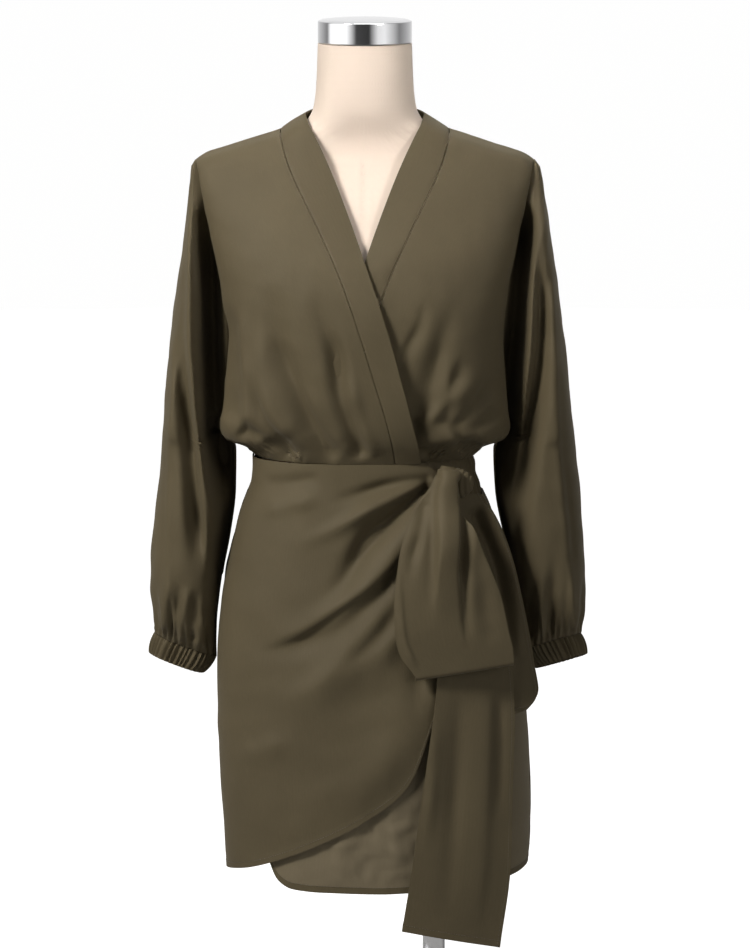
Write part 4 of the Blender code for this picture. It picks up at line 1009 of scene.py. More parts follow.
# ---- The bodice ----
@dataclass
class Bodice:
    """The two crossed fronts, the back and the two halves of the neckband."""

    back_seam: tuple[float, float] = (0.068, 0.998)
    back_edge: tuple[float, float] = (0.064, 1.028)
    back_neck_share: float = 0.46
    gather_pitch: float = 0.0085
    gather_depth: float = 0.0016
    rumple: float = 0.0005
    front: Sections = Sections("z half_width depth side_y hook", (
        (0.9735, 0.187, -0.0006, -0.0006, 0.0), (0.969, 0.1864, -0.03, -0.009, 0.0),
        (0.956, 0.1848, -0.048, -0.016, 0.002), (0.935, 0.1818, -0.069, -0.02, 0.004),
        (0.9, 0.175, -0.096, -0.024, 0.006), (0.86, 0.1665, -0.118, -0.027, 0.008),
        (0.82, 0.16, -0.129, -0.027, 0.009), (0.78, 0.1565, -0.132, -0.025, 0.01),
        (0.74, 0.159, -0.13, -0.021, 0.011), (0.7, 0.1625, -0.126, -0.018, 0.01),
        (0.677, 0.165, -0.121, -0.014, 0.007), (0.664, 0.161, -0.115, -0.009, 0.005),
        (UNDERARM_Z, 0.146, -0.109, -0.001, 0.003), (0.65, 0.134, -0.105, -0.0005, 0.0),
        (WAIST_Z, 0.1245, -0.1, -0.0005, 0.0)))
    back: Sections = Sections("z half_width depth side_y hook", (
        (0.935, 0.1818, 0.101, 0.021, 0.004), (0.9, 0.1755, 0.112, 0.024, 0.006),
        (0.86, 0.168, 0.117, 0.026, 0.008), (0.82, 0.162, 0.118, 0.026, 0.009),
        (0.78, 0.16, 0.116, 0.024, 0.01), (0.74, 0.161, 0.112, 0.02, 0.011),
        (0.7, 0.163, 0.106, 0.018, 0.01), (0.677, 0.1645, 0.101, 0.014, 0.007),
        (0.664, 0.159, 0.095, 0.009, 0.005), (UNDERARM_Z, 0.145, 0.09, 0.001, 0.003),
        (0.65, 0.134, 0.086, 0.0005, 0.0), (WAIST_Z, 0.1245, 0.081, 0.0005, 0.0)))
    neckline: Sections = Sections("z seam free free_y step", (
        (1.0205, 0.094, 0.066, 0.0, 0.0), (1.011, 0.094, 0.062, -0.0325, 0.0),
        (1.003, 0.094, 0.0575, -0.039, 0.0), (0.979, 0.0885, 0.0452, -0.052, 0.0),
        (0.958, 0.0805, 0.0355, -0.064, 0.001), (0.936, 0.0695, 0.0262, -0.077, 0.002),
        (0.898, 0.05, 0.0115, -0.0975, 0.005), (0.852, 0.0285, -0.005, -0.1205, 0.007),
        (0.8, 0.0098, -0.0225, -0.131, 0.009), (0.731, -0.0115, -0.0415, -0.1295, 0.014),
        (0.69, -0.0235, -0.052, -0.1225, 0.016), (0.66, -0.03, -0.059, -0.109, 0.011),
        (WAIST_Z, -0.0325, -0.0615, -0.096, 0.007)))
    right_creases: tuple[Crease, ...] = (
        Crease(((-0.1331, 0.819), (-0.1328, 0.771), (-0.1286, 0.731), (-0.1287, 0.701), (-0.1347, 0.68)),
            0.0035, 0.008, 0.006, 0.25, 0.12),
        Crease(((-0.1487, 0.823), (-0.1478, 0.779), (-0.147, 0.724), (-0.1494, 0.682)),
            -0.005, 0.01, 0.008, 0.35, 0.1),
        Crease(((-0.106, 0.855), (-0.0999, 0.819), (-0.0946, 0.771), (-0.0773, 0.731), (-0.0614, 0.6915),
            (-0.0424, 0.6616), (-0.028, 0.647)), -0.015, 0.017, 0.011, 0.5, 0.05),
        Crease(((-0.083, 0.8), (-0.076, 0.75), (-0.058, 0.71), (-0.043, 0.68), (-0.02, 0.652)),
            0.0055, 0.01, 0.01, 0.45, 0.08),
        Crease(((-0.053, 0.845), (-0.0498, 0.818), (-0.033, 0.764), (-0.0255, 0.714), (-0.015, 0.685),
            (-0.001, 0.647)), -0.012, 0.011, 0.009, 0.5, 0.05),
        Crease(((-0.02, 0.765), (-0.0105, 0.71), (-0.001, 0.68), (0.011, 0.65)),
            0.0045, 0.008, 0.008, 0.45, 0.08),
        Crease(((-0.116, 0.8), (-0.113, 0.74), (-0.101, 0.702), (-0.076, 0.67)),
            0.0055, 0.013, 0.012, 0.45, 0.15),
        Crease(((-0.127, 0.75), (-0.119, 0.705), (-0.102, 0.678), (-0.08, 0.656)),
            -0.0055, 0.009, 0.008, 0.4, 0.12),
        Crease(((-0.142, 0.677), (-0.1081, 0.663), (-0.0742, 0.6455)), -0.008, 0.013, 0.008, 0.1, 0.08),
        Crease(((-0.118, 0.662), (-0.095, 0.654), (-0.075, 0.647)), -0.006, 0.008, 0.008, 0.2, 0.2))
    left_creases: tuple[Crease, ...] = (
        Crease(((0.0945, 0.835), (0.0929, 0.818), (0.0778, 0.751), (0.0669, 0.7136), (0.055, 0.6815),
            (0.05, 0.662)), -0.009, 0.011, 0.013, 0.45, 0.06),
        Crease(((0.125, 0.75), (0.1019, 0.722), (0.0779, 0.7), (0.0549, 0.685)),
            0.0055, 0.01, 0.008, 0.45, 0.1),
        Crease(((0.0668, 0.83), (0.0613, 0.802), (0.0461, 0.77), (0.0374, 0.743)), -0.004, 0.008, 0.006),
        Crease(((0.148, 0.745), (0.122, 0.705), (0.093, 0.674)), -0.006, 0.011, 0.009, 0.4, 0.1),
        Crease(((0.154, 0.705), (0.128, 0.684), (0.098, 0.667)), -0.005, 0.009, 0.008, 0.3, 0.12),
        Crease(((0.11, 0.775), (0.096, 0.718), (0.083, 0.68)), -0.005, 0.009, 0.008, 0.45, 0.12),
        Crease(((0.048, 0.6705), (0.075, 0.67), (0.1, 0.672), (0.134, 0.683)),
            0.0025, 0.012, 0.01, 0.15, 0.2),
        Crease(((0.048, 0.653), (0.075, 0.652), (0.1, 0.6545), (0.134, 0.662)),
            -0.009, 0.01, 0.013, 0.1, 0.15, 2.4))
    back_drapes: tuple[Drape, ...] = (
        Drape(0.18, 0.24, -0.006, 0.035, 0.8, 0.642), Drape(0.32, 0.34, -0.007, 0.035, 0.78, 0.642),
        Drape(0.45, 0.45, -0.006, 0.035, 0.77, 0.642), Drape(0.57, 0.56, -0.0065, 0.035, 0.785, 0.642),
        Drape(0.7, 0.66, -0.007, 0.035, 0.8, 0.642), Drape(0.83, 0.77, -0.0055, 0.035, 0.78, 0.642))

    def shoulder_lift(self, z: np.ndarray | float) -> np.ndarray:
        """How much higher a row of the front lies at the neckline than at the armhole."""
        full = SHOULDER_NECK_Z - SHOULDER_TIP_Z
        return full * np.clip((z - YOKE_Z) / (SHOULDER_TIP_Z - YOKE_Z), 0, 1) ** 2

    def row(self, table: Sections, z: float, inner: float, shares: np.ndarray) -> tuple:
        """One row of a panel, from its inner edge to the armhole.

        Args:
            table: the panel's sections.
            z: the row's height.
            inner: where its inner edge is.
            shares: shares of its width.

        Returns:
            Its reach, y and height.
        """
        half, depth = table.read("half_width", z), table.read("depth", z)
        side_y, start = table.read("side_y", z), turn_of(inner / half)
        wide, deep = squircle(start + (pi / 2 - start) * shares)
        reach = half * wide
        rise = self.shoulder_lift(z) * np.clip(1 - (reach - inner) / (half - inner), 0, 1.4)
        hooked = reach - table.read("hook", z) * ease(0.8, 1.0, shares)
        return hooked, side_y + (depth - side_y) * deep, z + rise

    def tip_drop(self, reach: np.ndarray, z: np.ndarray) -> np.ndarray:
        """How far the cloth rounds down over the shoulder's tip."""
        return TIP_DROP * np.clip((reach - 0.17) / 0.017, 0, 1) ** 2 * ease(0.945, 0.968, z)

    def under_depth(self, side: Side, reach: np.ndarray, z: np.ndarray) -> np.ndarray:
        """How far a front is set in where the other passes over it.

        Args:
            side: the front's side.
            reach: how far out the points lie.
            z: their heights.

        Returns:
            The distances, all zero for the right front.
        """
        if side is Side.RIGHT:
            return reach * 0.0
        past = reach + self.neckline.read("free", z)
        return self.neckline.read("step", z) * ease(0.06, 0.004, past)

    def front_grid(self, side: Side) -> Grid:
        """The outer face of one front before its creases.

        Args:
            side: its side.

        Returns:
            The grid.
        """
        rows, columns = 130, 110
        shares = np.linspace(0, 1, columns)
        levels = WAIST_Z + (SHOULDER_TIP_Z - WAIST_Z) * (1 - np.linspace(0, 1, rows) ** 1.25)
        grid = []
        for z in levels:
            inner = self.neckline.read("seam", z + self.shoulder_lift(z))
            reach, y, height = self.row(self.front, z, inner, shares)
            height = height - self.tip_drop(reach, height)
            y = y + self.under_depth(side, reach, height)
            grid.append(np.stack([side.value * reach, y, height], axis=1))
        return np.array(grid)

    def front_panel(self, side: Side) -> Panel:
        """One front with its creases and the gathers over the waist seam.

        Args:
            side: its side.

        Returns:
            The panel.
        """
        grid = self.front_grid(side)
        shares = np.linspace(0, 1, grid.shape[1])
        x, z = grid[..., 0], grid[..., 2]
        creases = self.right_creases if side is Side.RIGHT else self.left_creases
        lift = sum(crease.lift(x, z) for crease in creases)
        lift = lift * between(0.08, 0.9, shares)
        kept = 0.35 if side is Side.RIGHT else 0.0
        lift = lift * (kept + (1 - kept) * ease(WAIST_Z, WAIST_Z + 0.022, z))
        warp = x / self.gather_pitch + 0.8 * np.sin(x * 160.0) + 3.0 * (z - WAIST_Z) * x / 0.01
        gathers = self.gather_depth * np.cos(2 * np.pi * warp) * ease(0.672, 0.654, z)
        gathers = gathers * ease(0.045, 0.07, np.abs(x)) * ease(WAIST_Z, WAIST_Z + 0.004, z)
        lift = lift + gathers * between(0.1, 0.85, shares)
        lift = lift + self.rumple * ripple(x, z, 0.055, side.value) * between(0.1, 0.9, shares)
        panel = Panel(f"bodice_front_{side.word}", grid, Cut(0.27, 0.45, 0.08, "gathered"), (0, 0, 0.8))
        panel.lift(lift, level=ease(WAIST_Z + 0.034, WAIST_Z + 0.01, z))
        return panel

    def neck_curve(self, share: float, free: bool = False) -> np.ndarray:
        """A point of the neckband's seam round the back.

        Args:
            share: 0 at the centre back, 1 at the shoulder.
            free: whether the free edge is meant instead.

        Returns:
            The point.
        """
        x = self.neckline.rows[0][2] if free else self.neckline.rows[0][1]
        y, z = self.back_edge if free else self.back_seam
        end_z = self.neckline.rows[0][0] if free else SHOULDER_NECK_Z
        turn = share * pi / 2
        return np.array([x * sin(turn), y * cos(turn), z + (end_z - z) * ease(0, 1, share)])

    def back_panel(self) -> Panel:
        """The back with the drapes over the waist.

        Returns:
            The panel.
        """
        rows, columns = 96, 150
        shares = np.linspace(-1, 1, columns)
        reach_share, hand = np.abs(shares), np.sign(shares)
        tip = np.array([self.front.rows[0][1], 0.0, SHOULDER_TIP_Z])
        start = self.neck_curve(1.0)
        top = []
        for share in reach_share:
            if share <= self.back_neck_share:
                top.append(self.neck_curve(share / self.back_neck_share))
            else:
                past = (share - self.back_neck_share) / (1 - self.back_neck_share)
                top.append(start + (tip - start) * past)
        top = np.array(top) + (0, FOLDED_GAP, 0)
        top[:, 2] -= self.tip_drop(top[:, 0], top[:, 2])
        body = []
        for z in np.linspace(0.935, WAIST_Z, rows):
            reach, y, _ = self.row(self.back, z, 0.0, reach_share)
            body.append(np.stack([reach, y, np.full(columns, z)], axis=1))
        bend = top + (body[0] - top) * (0.5, 0.75, 0.12)
        yoke = [top * (1 - t) ** 2 + bend * 2 * t * (1 - t) + body[0] * t**2
                for t in np.linspace(0, 0.96, 26)]
        grid = np.array(yoke + body)
        grid[..., 0] *= hand
        z = grid[..., 2]
        lift = sum(drape.lift((shares + 1) / 2, z) for drape in self.back_drapes)
        lift = lift * ease(WAIST_Z, WAIST_Z + 0.026, z) * ease(1.0, 0.86, reach_share)
        lift = lift + self.rumple * ripple(grid[..., 0], z, 0.06, 3.0) * ease(1.0, 0.9, reach_share)
        panel = Panel("bodice_back", grid, Cut(0.48, 0.44, 0.175, "gathered"), (0, 0, 0.8))
        panel.lift(lift)
        return panel

    def band_panel(self, side: Side) -> Panel:
        """Half of the neckband, from the centre back over the shoulder to the waist.

        Args:
            side: its side.

        Returns:
            The panel.
        """
        columns = 22
        pairs = [(self.neck_curve(s), self.neck_curve(s, free=True)) for s in np.linspace(0, 1, 34)]
        rise = self.neckline.rows[0][0] - SHOULDER_NECK_Z
        for z in np.linspace(0.971, WAIST_Z, 120):
            height = z + self.shoulder_lift(z)
            reach = self.neckline.read("seam", height)
            half, depth, side_y = (self.front.read(column, z) for column in ("half_width", "depth", "side_y"))
            y = side_y + (depth - side_y) * squircle(turn_of(reach / half))[1]
            seam = np.array([reach, y + self.under_depth(side, reach, height), height])
            height = height + rise * ease(0.92, SHOULDER_NECK_Z, height)
            reach, y = self.neckline.read("free", height), self.neckline.read("free_y", height)
            pairs.append((seam, np.array([reach, y + self.under_depth(side, reach, height), height])))
        grid = []
        for seam, free in pairs:
            start = seam + (free - seam) / np.linalg.norm(free - seam) * SEAM_GAP * 1.5
            grid.append([start + (free - start) * t for t in np.linspace(0, 1, columns)])
        grid = np.array(grid)
        grid[0, :, 0] += FOLDED_GAP
        grid[..., 0] *= side.value
        panel = Panel(f"neckband_{side.word}", grid, Cut(0.042, 0.57, 0.0185, "draped"), (0, 0, 0.7),
                      thickness=0.0015)
        share = np.linspace(0, 1, columns)
        roll = 0.0006 * np.sin(np.pi * share) - 0.0007 * np.exp(-((share / 0.05) ** 2))
        wave = 0.0004 * ripple(panel.steps(0), grid[..., 2] * 0, 0.07, side.value * 2)
        panel.lift(roll[None, :] + wave * np.sin(np.pi * share))
        return panel


# ---- The sleeves ----
@dataclass
class Sleeves:
    """The two full sleeves and their gathered cuffs."""

    mouth: tuple[float, float] = (0.62, 1.5)
    gathers: int = 11
    gather_depth: float = 0.003
    cuff_drop: float = 0.0215
    cuff_lean: float = 0.0105
    cuff_narrowing: float = 0.9
    cuff_ribs: int = 38
    cuff_rib_depth: float = 0.0023
    press_floor: float = 0.028  # the creases press the cloth no farther back than this Y
    hold: float = 0.13  # share of a row that bends to meet the armhole
    girth: float = 0.32
    rumple: float = 0.0006
    fine_gathers: int = 27
    fine_depth: float = 0.0013
    right: Sections = Sections("z inner outer front back tilt pitch", (
        (CAP_Z, 0.186, 0.191, -0.0115, 0.012, 0.0, 0.0), (0.956, 0.1845, 0.1928, -0.017, 0.0175, 0.0, 0.0),
        (0.935, 0.182, 0.195, -0.024, 0.028, 0.0, 0.0), (0.915, 0.18, 0.197, -0.038, 0.044, 0.0, 0.0),
        (0.89, 0.1765, 0.2, -0.052, 0.061, 0.0, 0.0), (0.85, 0.1695, 0.206, -0.063, 0.074, 0.0, 0.0),
        (0.79, 0.163, 0.2145, -0.068, 0.08, 0.0, 0.0), (0.74, 0.164, 0.22, -0.068, 0.081, 0.0, 0.0),
        (0.7, 0.1675, 0.224, -0.068, 0.082, 0.0, 0.0), (0.677, 0.1695, 0.2256, -0.067, 0.082, 0.0, 0.0),
        (0.664, 0.1655, 0.2264, -0.066, 0.082, 0.0, 0.0), (0.656, 0.1505, 0.2268, -0.065, 0.081, 0.0, 0.0),
        (0.642, 0.145, 0.228, -0.064, 0.08, 0.0, 0.0), (0.6, 0.1455, 0.232, -0.063, 0.079, 0.02, 0.0),
        (0.55, 0.152, 0.238, -0.061, 0.078, 0.08, 0.0), (0.515, 0.159, 0.2405, -0.06, 0.076, 0.12, 0.0),
        (0.483, 0.164, 0.2403, -0.057, 0.072, 0.2, 0.0), (0.456, 0.167, 0.2375, -0.051, 0.064, 0.29, 0.02),
        (0.435, 0.1675, 0.2365, -0.038, 0.047, 0.36, 0.03),
        (0.423, 0.1672, 0.2372, -0.027, 0.034, 0.38, 0.04)))
    left: Sections = Sections("z inner outer front back tilt pitch", (
        (CAP_Z, 0.1865, 0.1918, -0.0115, 0.012, 0.0, 0.0), (0.956, 0.185, 0.195, -0.017, 0.0175, 0.0, 0.0),
        (0.935, 0.1825, 0.1988, -0.024, 0.028, 0.0, 0.0), (0.915, 0.1805, 0.202, -0.038, 0.044, 0.0, 0.0),
        (0.89, 0.177, 0.2058, -0.052, 0.061, 0.0, 0.0), (0.85, 0.1705, 0.2115, -0.063, 0.074, 0.0, 0.0),
        (0.79, 0.1635, 0.22, -0.068, 0.08, 0.0, 0.0), (0.74, 0.1645, 0.226, -0.068, 0.081, 0.0, 0.0),
        (0.7, 0.168, 0.23, -0.068, 0.082, 0.0, 0.0), (0.677, 0.1695, 0.2322, -0.067, 0.082, 0.0, 0.0),
        (0.664, 0.1655, 0.2333, -0.066, 0.082, 0.0, 0.0), (0.656, 0.1505, 0.2341, -0.065, 0.081, 0.0, 0.0),
        (0.642, 0.1445, 0.2365, -0.064, 0.08, 0.0, 0.0), (0.6, 0.1465, 0.241, -0.062, 0.079, 0.02, 0.0),
        (0.55, 0.156, 0.2448, -0.059, 0.078, 0.06, 0.02), (0.515, 0.166, 0.2467, -0.056, 0.076, 0.1, 0.05),
        (0.483, 0.1725, 0.2474, -0.053, 0.072, 0.16, 0.1), (0.456, 0.1765, 0.2462, -0.047, 0.064, 0.22, 0.16),
        (0.435, 0.179, 0.2435, -0.036, 0.047, 0.27, 0.22), (0.424, 0.1785, 0.244, -0.027, 0.034, 0.29, 0.25)))
    drapes: tuple[Drape, ...] = (
        Drape(0.58, 0.57, -0.0065, 0.035, 0.88, 0.45), Drape(0.66, 0.65, 0.006, 0.04, 0.88, 0.45),
        Drape(0.75, 0.72, -0.008, 0.035, 0.9, 0.44), Drape(0.84, 0.82, 0.006, 0.04, 0.9, 0.43))
    right_creases: tuple[Crease, ...] = (
        Crease(((-0.184, 0.935), (-0.1767, 0.883), (-0.1727, 0.816), (-0.1719, 0.749), (-0.1711, 0.682),
            (-0.164, 0.614), (-0.16, 0.56)), -0.056, 0.013, 0.011, 0.24, 0.28, 2.8),
        Crease(((-0.1935, 0.915), (-0.193, 0.841), (-0.1945, 0.782), (-0.1895, 0.722), (-0.182, 0.663),
            (-0.175, 0.612), (-0.1648, 0.552), (-0.162, 0.5)), 0.011, 0.011, 0.004, 0.15, 0.25),
        Crease(((-0.2, 0.85), (-0.201, 0.78), (-0.1965, 0.708), (-0.1925, 0.663), (-0.1895, 0.618),
            (-0.185, 0.562), (-0.182, 0.505)), -0.024, 0.006, 0.011, 0.62, 0.22, 2.4),
        Crease(((-0.2121, 0.78), (-0.2121, 0.73), (-0.2169, 0.674), (-0.2185, 0.64), (-0.219, 0.595),
            (-0.2193, 0.55), (-0.2203, 0.491)), 0.003, 0.005, 0.003, 0.25, 0.2),
        Crease(((-0.156, 0.69), (-0.154, 0.64), (-0.153, 0.59), (-0.154, 0.53), (-0.16, 0.47)),
            -0.042, 0.016, 0.016, 0.1, 0.35, 3.0),
        Crease(((-0.1626, 0.62), (-0.1571, 0.603), (-0.1505, 0.582)), 0.003, 0.004, 0.003),
        Crease(((-0.2189, 0.528), (-0.2203, 0.491), (-0.2238, 0.462), (-0.225, 0.44)), 0.005, 0.006, 0.005,
            0.4, 0.1),
        Crease(((-0.206, 0.51), (-0.2093, 0.462), (-0.21, 0.43)), -0.006, 0.005, 0.005, 0.5, 0.1),
        Crease(((-0.1958, 0.505), (-0.2027, 0.462), (-0.206, 0.43)), 0.005, 0.006, 0.005, 0.4, 0.1),
        Crease(((-0.1771, 0.47), (-0.1805, 0.443), (-0.1833, 0.425)), 0.004, 0.005, 0.004, 0.4, 0.1),
        Crease(((-0.188, 0.5), (-0.19, 0.462), (-0.193, 0.43)), -0.005, 0.006, 0.005, 0.4, 0.1))
    left_creases: tuple[Crease, ...] = (
        Crease(((0.18, 0.93), (0.1738, 0.86), (0.1686, 0.794), (0.1644, 0.738), (0.1624, 0.682),
            (0.158, 0.63)), -0.052, 0.01, 0.012, 0.18, 0.28, 2.8),
        Crease(((0.154, 0.69), (0.153, 0.64), (0.152, 0.59), (0.152, 0.54), (0.156, 0.48)),
            -0.042, 0.016, 0.014, 0.1, 0.35, 3.0),
        Crease(((0.187, 0.955), (0.1842, 0.93), (0.1842, 0.874), (0.1855, 0.819), (0.184, 0.771),
            (0.179, 0.74), (0.175, 0.715), (0.17, 0.68), (0.1635, 0.643), (0.152, 0.597)),
            0.006, 0.005, 0.01, 0.1, 0.25),
        Crease(((0.1925, 0.91), (0.193, 0.819), (0.1915, 0.763), (0.1865, 0.708), (0.1805, 0.663),
            (0.1745, 0.618), (0.1695, 0.573), (0.167, 0.52)), -0.028, 0.011, 0.007, 0.35, 0.25, 2.2),
        Crease(((0.2045, 0.88), (0.2084, 0.819), (0.2104, 0.778), (0.2127, 0.708), (0.2148, 0.652),
            (0.2186, 0.618), (0.2256, 0.562), (0.2277, 0.528), (0.231, 0.482)), 0.0035, 0.003, 0.008,
            0.25, 0.2),
        Crease(((0.22, 0.64), (0.224, 0.6), (0.23, 0.55), (0.233, 0.5)), -0.003, 0.005, 0.004),
        Crease(((0.2124, 0.54), (0.2093, 0.491), (0.2078, 0.458), (0.2051, 0.43)), -0.008, 0.008, 0.007,
            0.45, 0.1),
        Crease(((0.2277, 0.528), (0.2301, 0.514), (0.2316, 0.482), (0.2363, 0.436)), 0.0045, 0.004, 0.005,
            0.3, 0.1),
        Crease(((0.19, 0.51), (0.1849, 0.466), (0.184, 0.43)), -0.0065, 0.006, 0.006, 0.45, 0.1),
        Crease(((0.198, 0.52), (0.195, 0.47), (0.193, 0.43)), 0.0055, 0.007, 0.006, 0.45, 0.1))

    def edge_reader(self, edge: np.ndarray) -> Callable[[float], np.ndarray]:
        """Makes a reader of an armhole's edge.

        Args:
            edge: its points.

        Returns:
            A function that gives the reach and y at a height.
        """
        edge = edge[np.argsort(edge[:, 2])]
        reach, y, height = np.abs(edge[:, 0]), edge[:, 1], edge[:, 2]
        return lambda z: np.array([np.interp(z, height, reach), np.interp(z, height, y)])

    def row(self, table: Sections, z: float, edges: tuple | None, columns: int) -> np.ndarray:
        """One row of a sleeve, from the front of the armhole round to its back.

        Args:
            table: the sleeve's sections.
            z: the row's height.
            edges: readers of the armhole's front and back, needed above the underarm.
            columns: how many points.

        Returns:
            Reach, y and height of each point.
        """
        inner, outer, front, back = (table.read(c, z) for c in ("inner", "outer", "front", "back"))
        centre, middle = (inner + outer) / 2, (front + back) / 2
        mouth = self.mouth[0] + (self.mouth[1] - self.mouth[0]) * ease(0.86, 0.968, z)
        mouth = mouth * ease(UNDERARM_Z, UNDERARM_Z + 0.05, z)
        turn = np.linspace(-pi / 2 + mouth, 1.5 * pi - mouth, columns)
        wide, deep = squircle(turn)
        reach = centre + (outer - inner) / 2 * wide
        y = middle - (back - front) / 2 * deep
        share = np.linspace(0, 1, columns)
        if z >= UNDERARM_Z:
            start, end = edges[0](z) + (0.0004, 0.0004), edges[1](z) + (0.0004, -0.0004)
        else:
            seam = middle * ease(UNDERARM_Z, UNDERARM_Z - 0.05, z)
            start, end = np.array([inner, seam - FOLDED_GAP]), np.array([inner, seam + FOLDED_GAP])
        for at, held in ((start, ease(self.hold, 0.0, share)), (end, ease(1 - self.hold, 1.0, share))):
            index = 0 if held[0] > 0.5 else -1
            shift = at - np.array([reach[index], y[index]])
            reach, y = reach + shift[0] * held, y + shift[1] * held
        tilt, pitch = table.read("tilt", z), table.read("pitch", z)
        return np.stack([reach, y, z + tilt * (reach - centre) - pitch * (y - middle)], axis=1)

    def cap_row(self, edges: tuple, columns: int) -> np.ndarray:
        """A sleeve's first row, over the shoulder's tip.

        Args:
            edges: readers of the armhole's front and back.
            columns: how many points.

        Returns:
            Reach, y and height of each point.
        """
        row = []
        for share in np.linspace(-1, 1, columns):
            z = SHOULDER_TIP_Z - TIP_DROP - (SHOULDER_TIP_Z - TIP_DROP - CAP_Z) * abs(share)
            x, y = edges[0](z) if share < 0 else edges[1](z)
            row.append((x + 0.0008, y, z - SEAM_GAP))
        return np.array(row)

    def panel(self, side: Side, front: Grid, back: Grid) -> Panel:
        """One sleeve with its drapes and the gathers over the cuff.

        Args:
            side: its side.
            front: the front's grid.
            back: the back's grid.

        Returns:
            The panel.
        """
        rows, columns = 140, 170
        table = self.right if side is Side.RIGHT else self.left
        edges = (self.edge_reader(front[:, -1]), self.edge_reader(back[:, 0 if side is Side.RIGHT else -1]))
        foot = table.rows[-1][0]
        levels = np.concatenate([[CAP_Z], np.linspace(0.961, foot, rows)])[:, None]
        grid = np.array([self.cap_row(edges, columns)]
                        + [self.row(table, z, edges, columns) for z in levels[1:, 0]])
        share = np.linspace(0, 1, columns)
        lift = sum(drape.lift(share, levels) for drape in self.drapes)
        warp = share + 0.012 * np.sin(share * 23.0 + side.value)
        gathers = np.cos(2 * np.pi * self.gathers * warp)
        gathers = gathers * (0.75 + 0.25 * np.sin(share * 31.0 + 2 * side.value))
        lift = lift + self.gather_depth * gathers * ease(foot + 0.085, foot + 0.03, levels)
        lift = lift * ease(foot, foot + 0.02, levels)
        fine = self.fine_depth * np.cos(2 * np.pi * self.fine_gathers * warp)
        lift = lift + fine * ease(foot + 0.042, foot + 0.012, levels) * ease(foot, foot + 0.004, levels)
        across, down = np.broadcast_arrays(share * self.girth, levels)
        lift = lift + self.rumple * ripple(across, down, 0.06, 5.0 * side.value)
        lift = lift * between(0.12, 0.88, share)
        grid = grid + outward(grid, grid.mean(axis=1, keepdims=True)) * lift[..., None]
        grid[..., 0] *= side.value
        cut = Cut(0.46, 0.6, 0.205, "gathered", f"bodice_front_{side.word}_crepe")
        panel = Panel(f"sleeve_{side.word}", grid, cut, grid.mean(axis=1, keepdims=True))
        held = ease(0.0, 0.03, share) * ease(0.66, 0.54, share) * ease(foot, foot + 0.012, levels)
        panel.crease(self.right_creases if side is Side.RIGHT else self.left_creases, held, self.press_floor)
        return panel

    def cuff(self, side: Side) -> Panel:
        """The gathered cuff under a sleeve.

        Args:
            side: its side.

        Returns:
            The panel.
        """
        around, rows = 272, 22
        table = self.right if side is Side.RIGHT else self.left
        ring = self.row(table, table.rows[-1][0], None, around + 1)[:-1]
        centre = ring.mean(axis=0)
        share = np.linspace(0, 1, around, endpoint=False)
        warp = share + 0.006 * np.sin(2 * np.pi * 5 * share + side.value)
        warp = warp + 0.003 * np.sin(2 * np.pi * 13 * share)
        rib = np.cos(2 * np.pi * self.cuff_ribs * warp)
        rib = np.sign(rib) * np.abs(rib) ** 0.8 * (0.8 + 0.2 * np.sin(2 * np.pi * 7 * share + 1.0))
        grid = []
        for t in np.linspace(0.0, 1.0, rows):
            width = 1 + (self.cuff_narrowing - 1) * t + 0.03 * sin(pi * t)
            away = (ring - centre) * width
            away = away * (1 - 0.0012 / np.linalg.norm(away, axis=1, keepdims=True))
            swell = self.cuff_rib_depth * (0.35 + 0.65 * sin(pi * min(1.0, t * 0.9 + 0.1)) ** 0.5)
            away += away / np.linalg.norm(away, axis=1, keepdims=True) * rib[:, None] * swell
            shift = np.array([self.cuff_lean * t, 0.0, -self.cuff_drop * t - SEAM_GAP * 1.5])
            grid.append(centre + away + shift)
        grid = np.array(grid)
        grid[..., 0] *= side.value
        cut = Cut(0.36, 0.026, 0.0092, "gathered", f"sleeve_{side.word}_crepe")
        return Panel(f"cuff_{side.word}", grid, cut, grid.mean(axis=1, keepdims=True), closed=True,
                     thickness=0.0014)


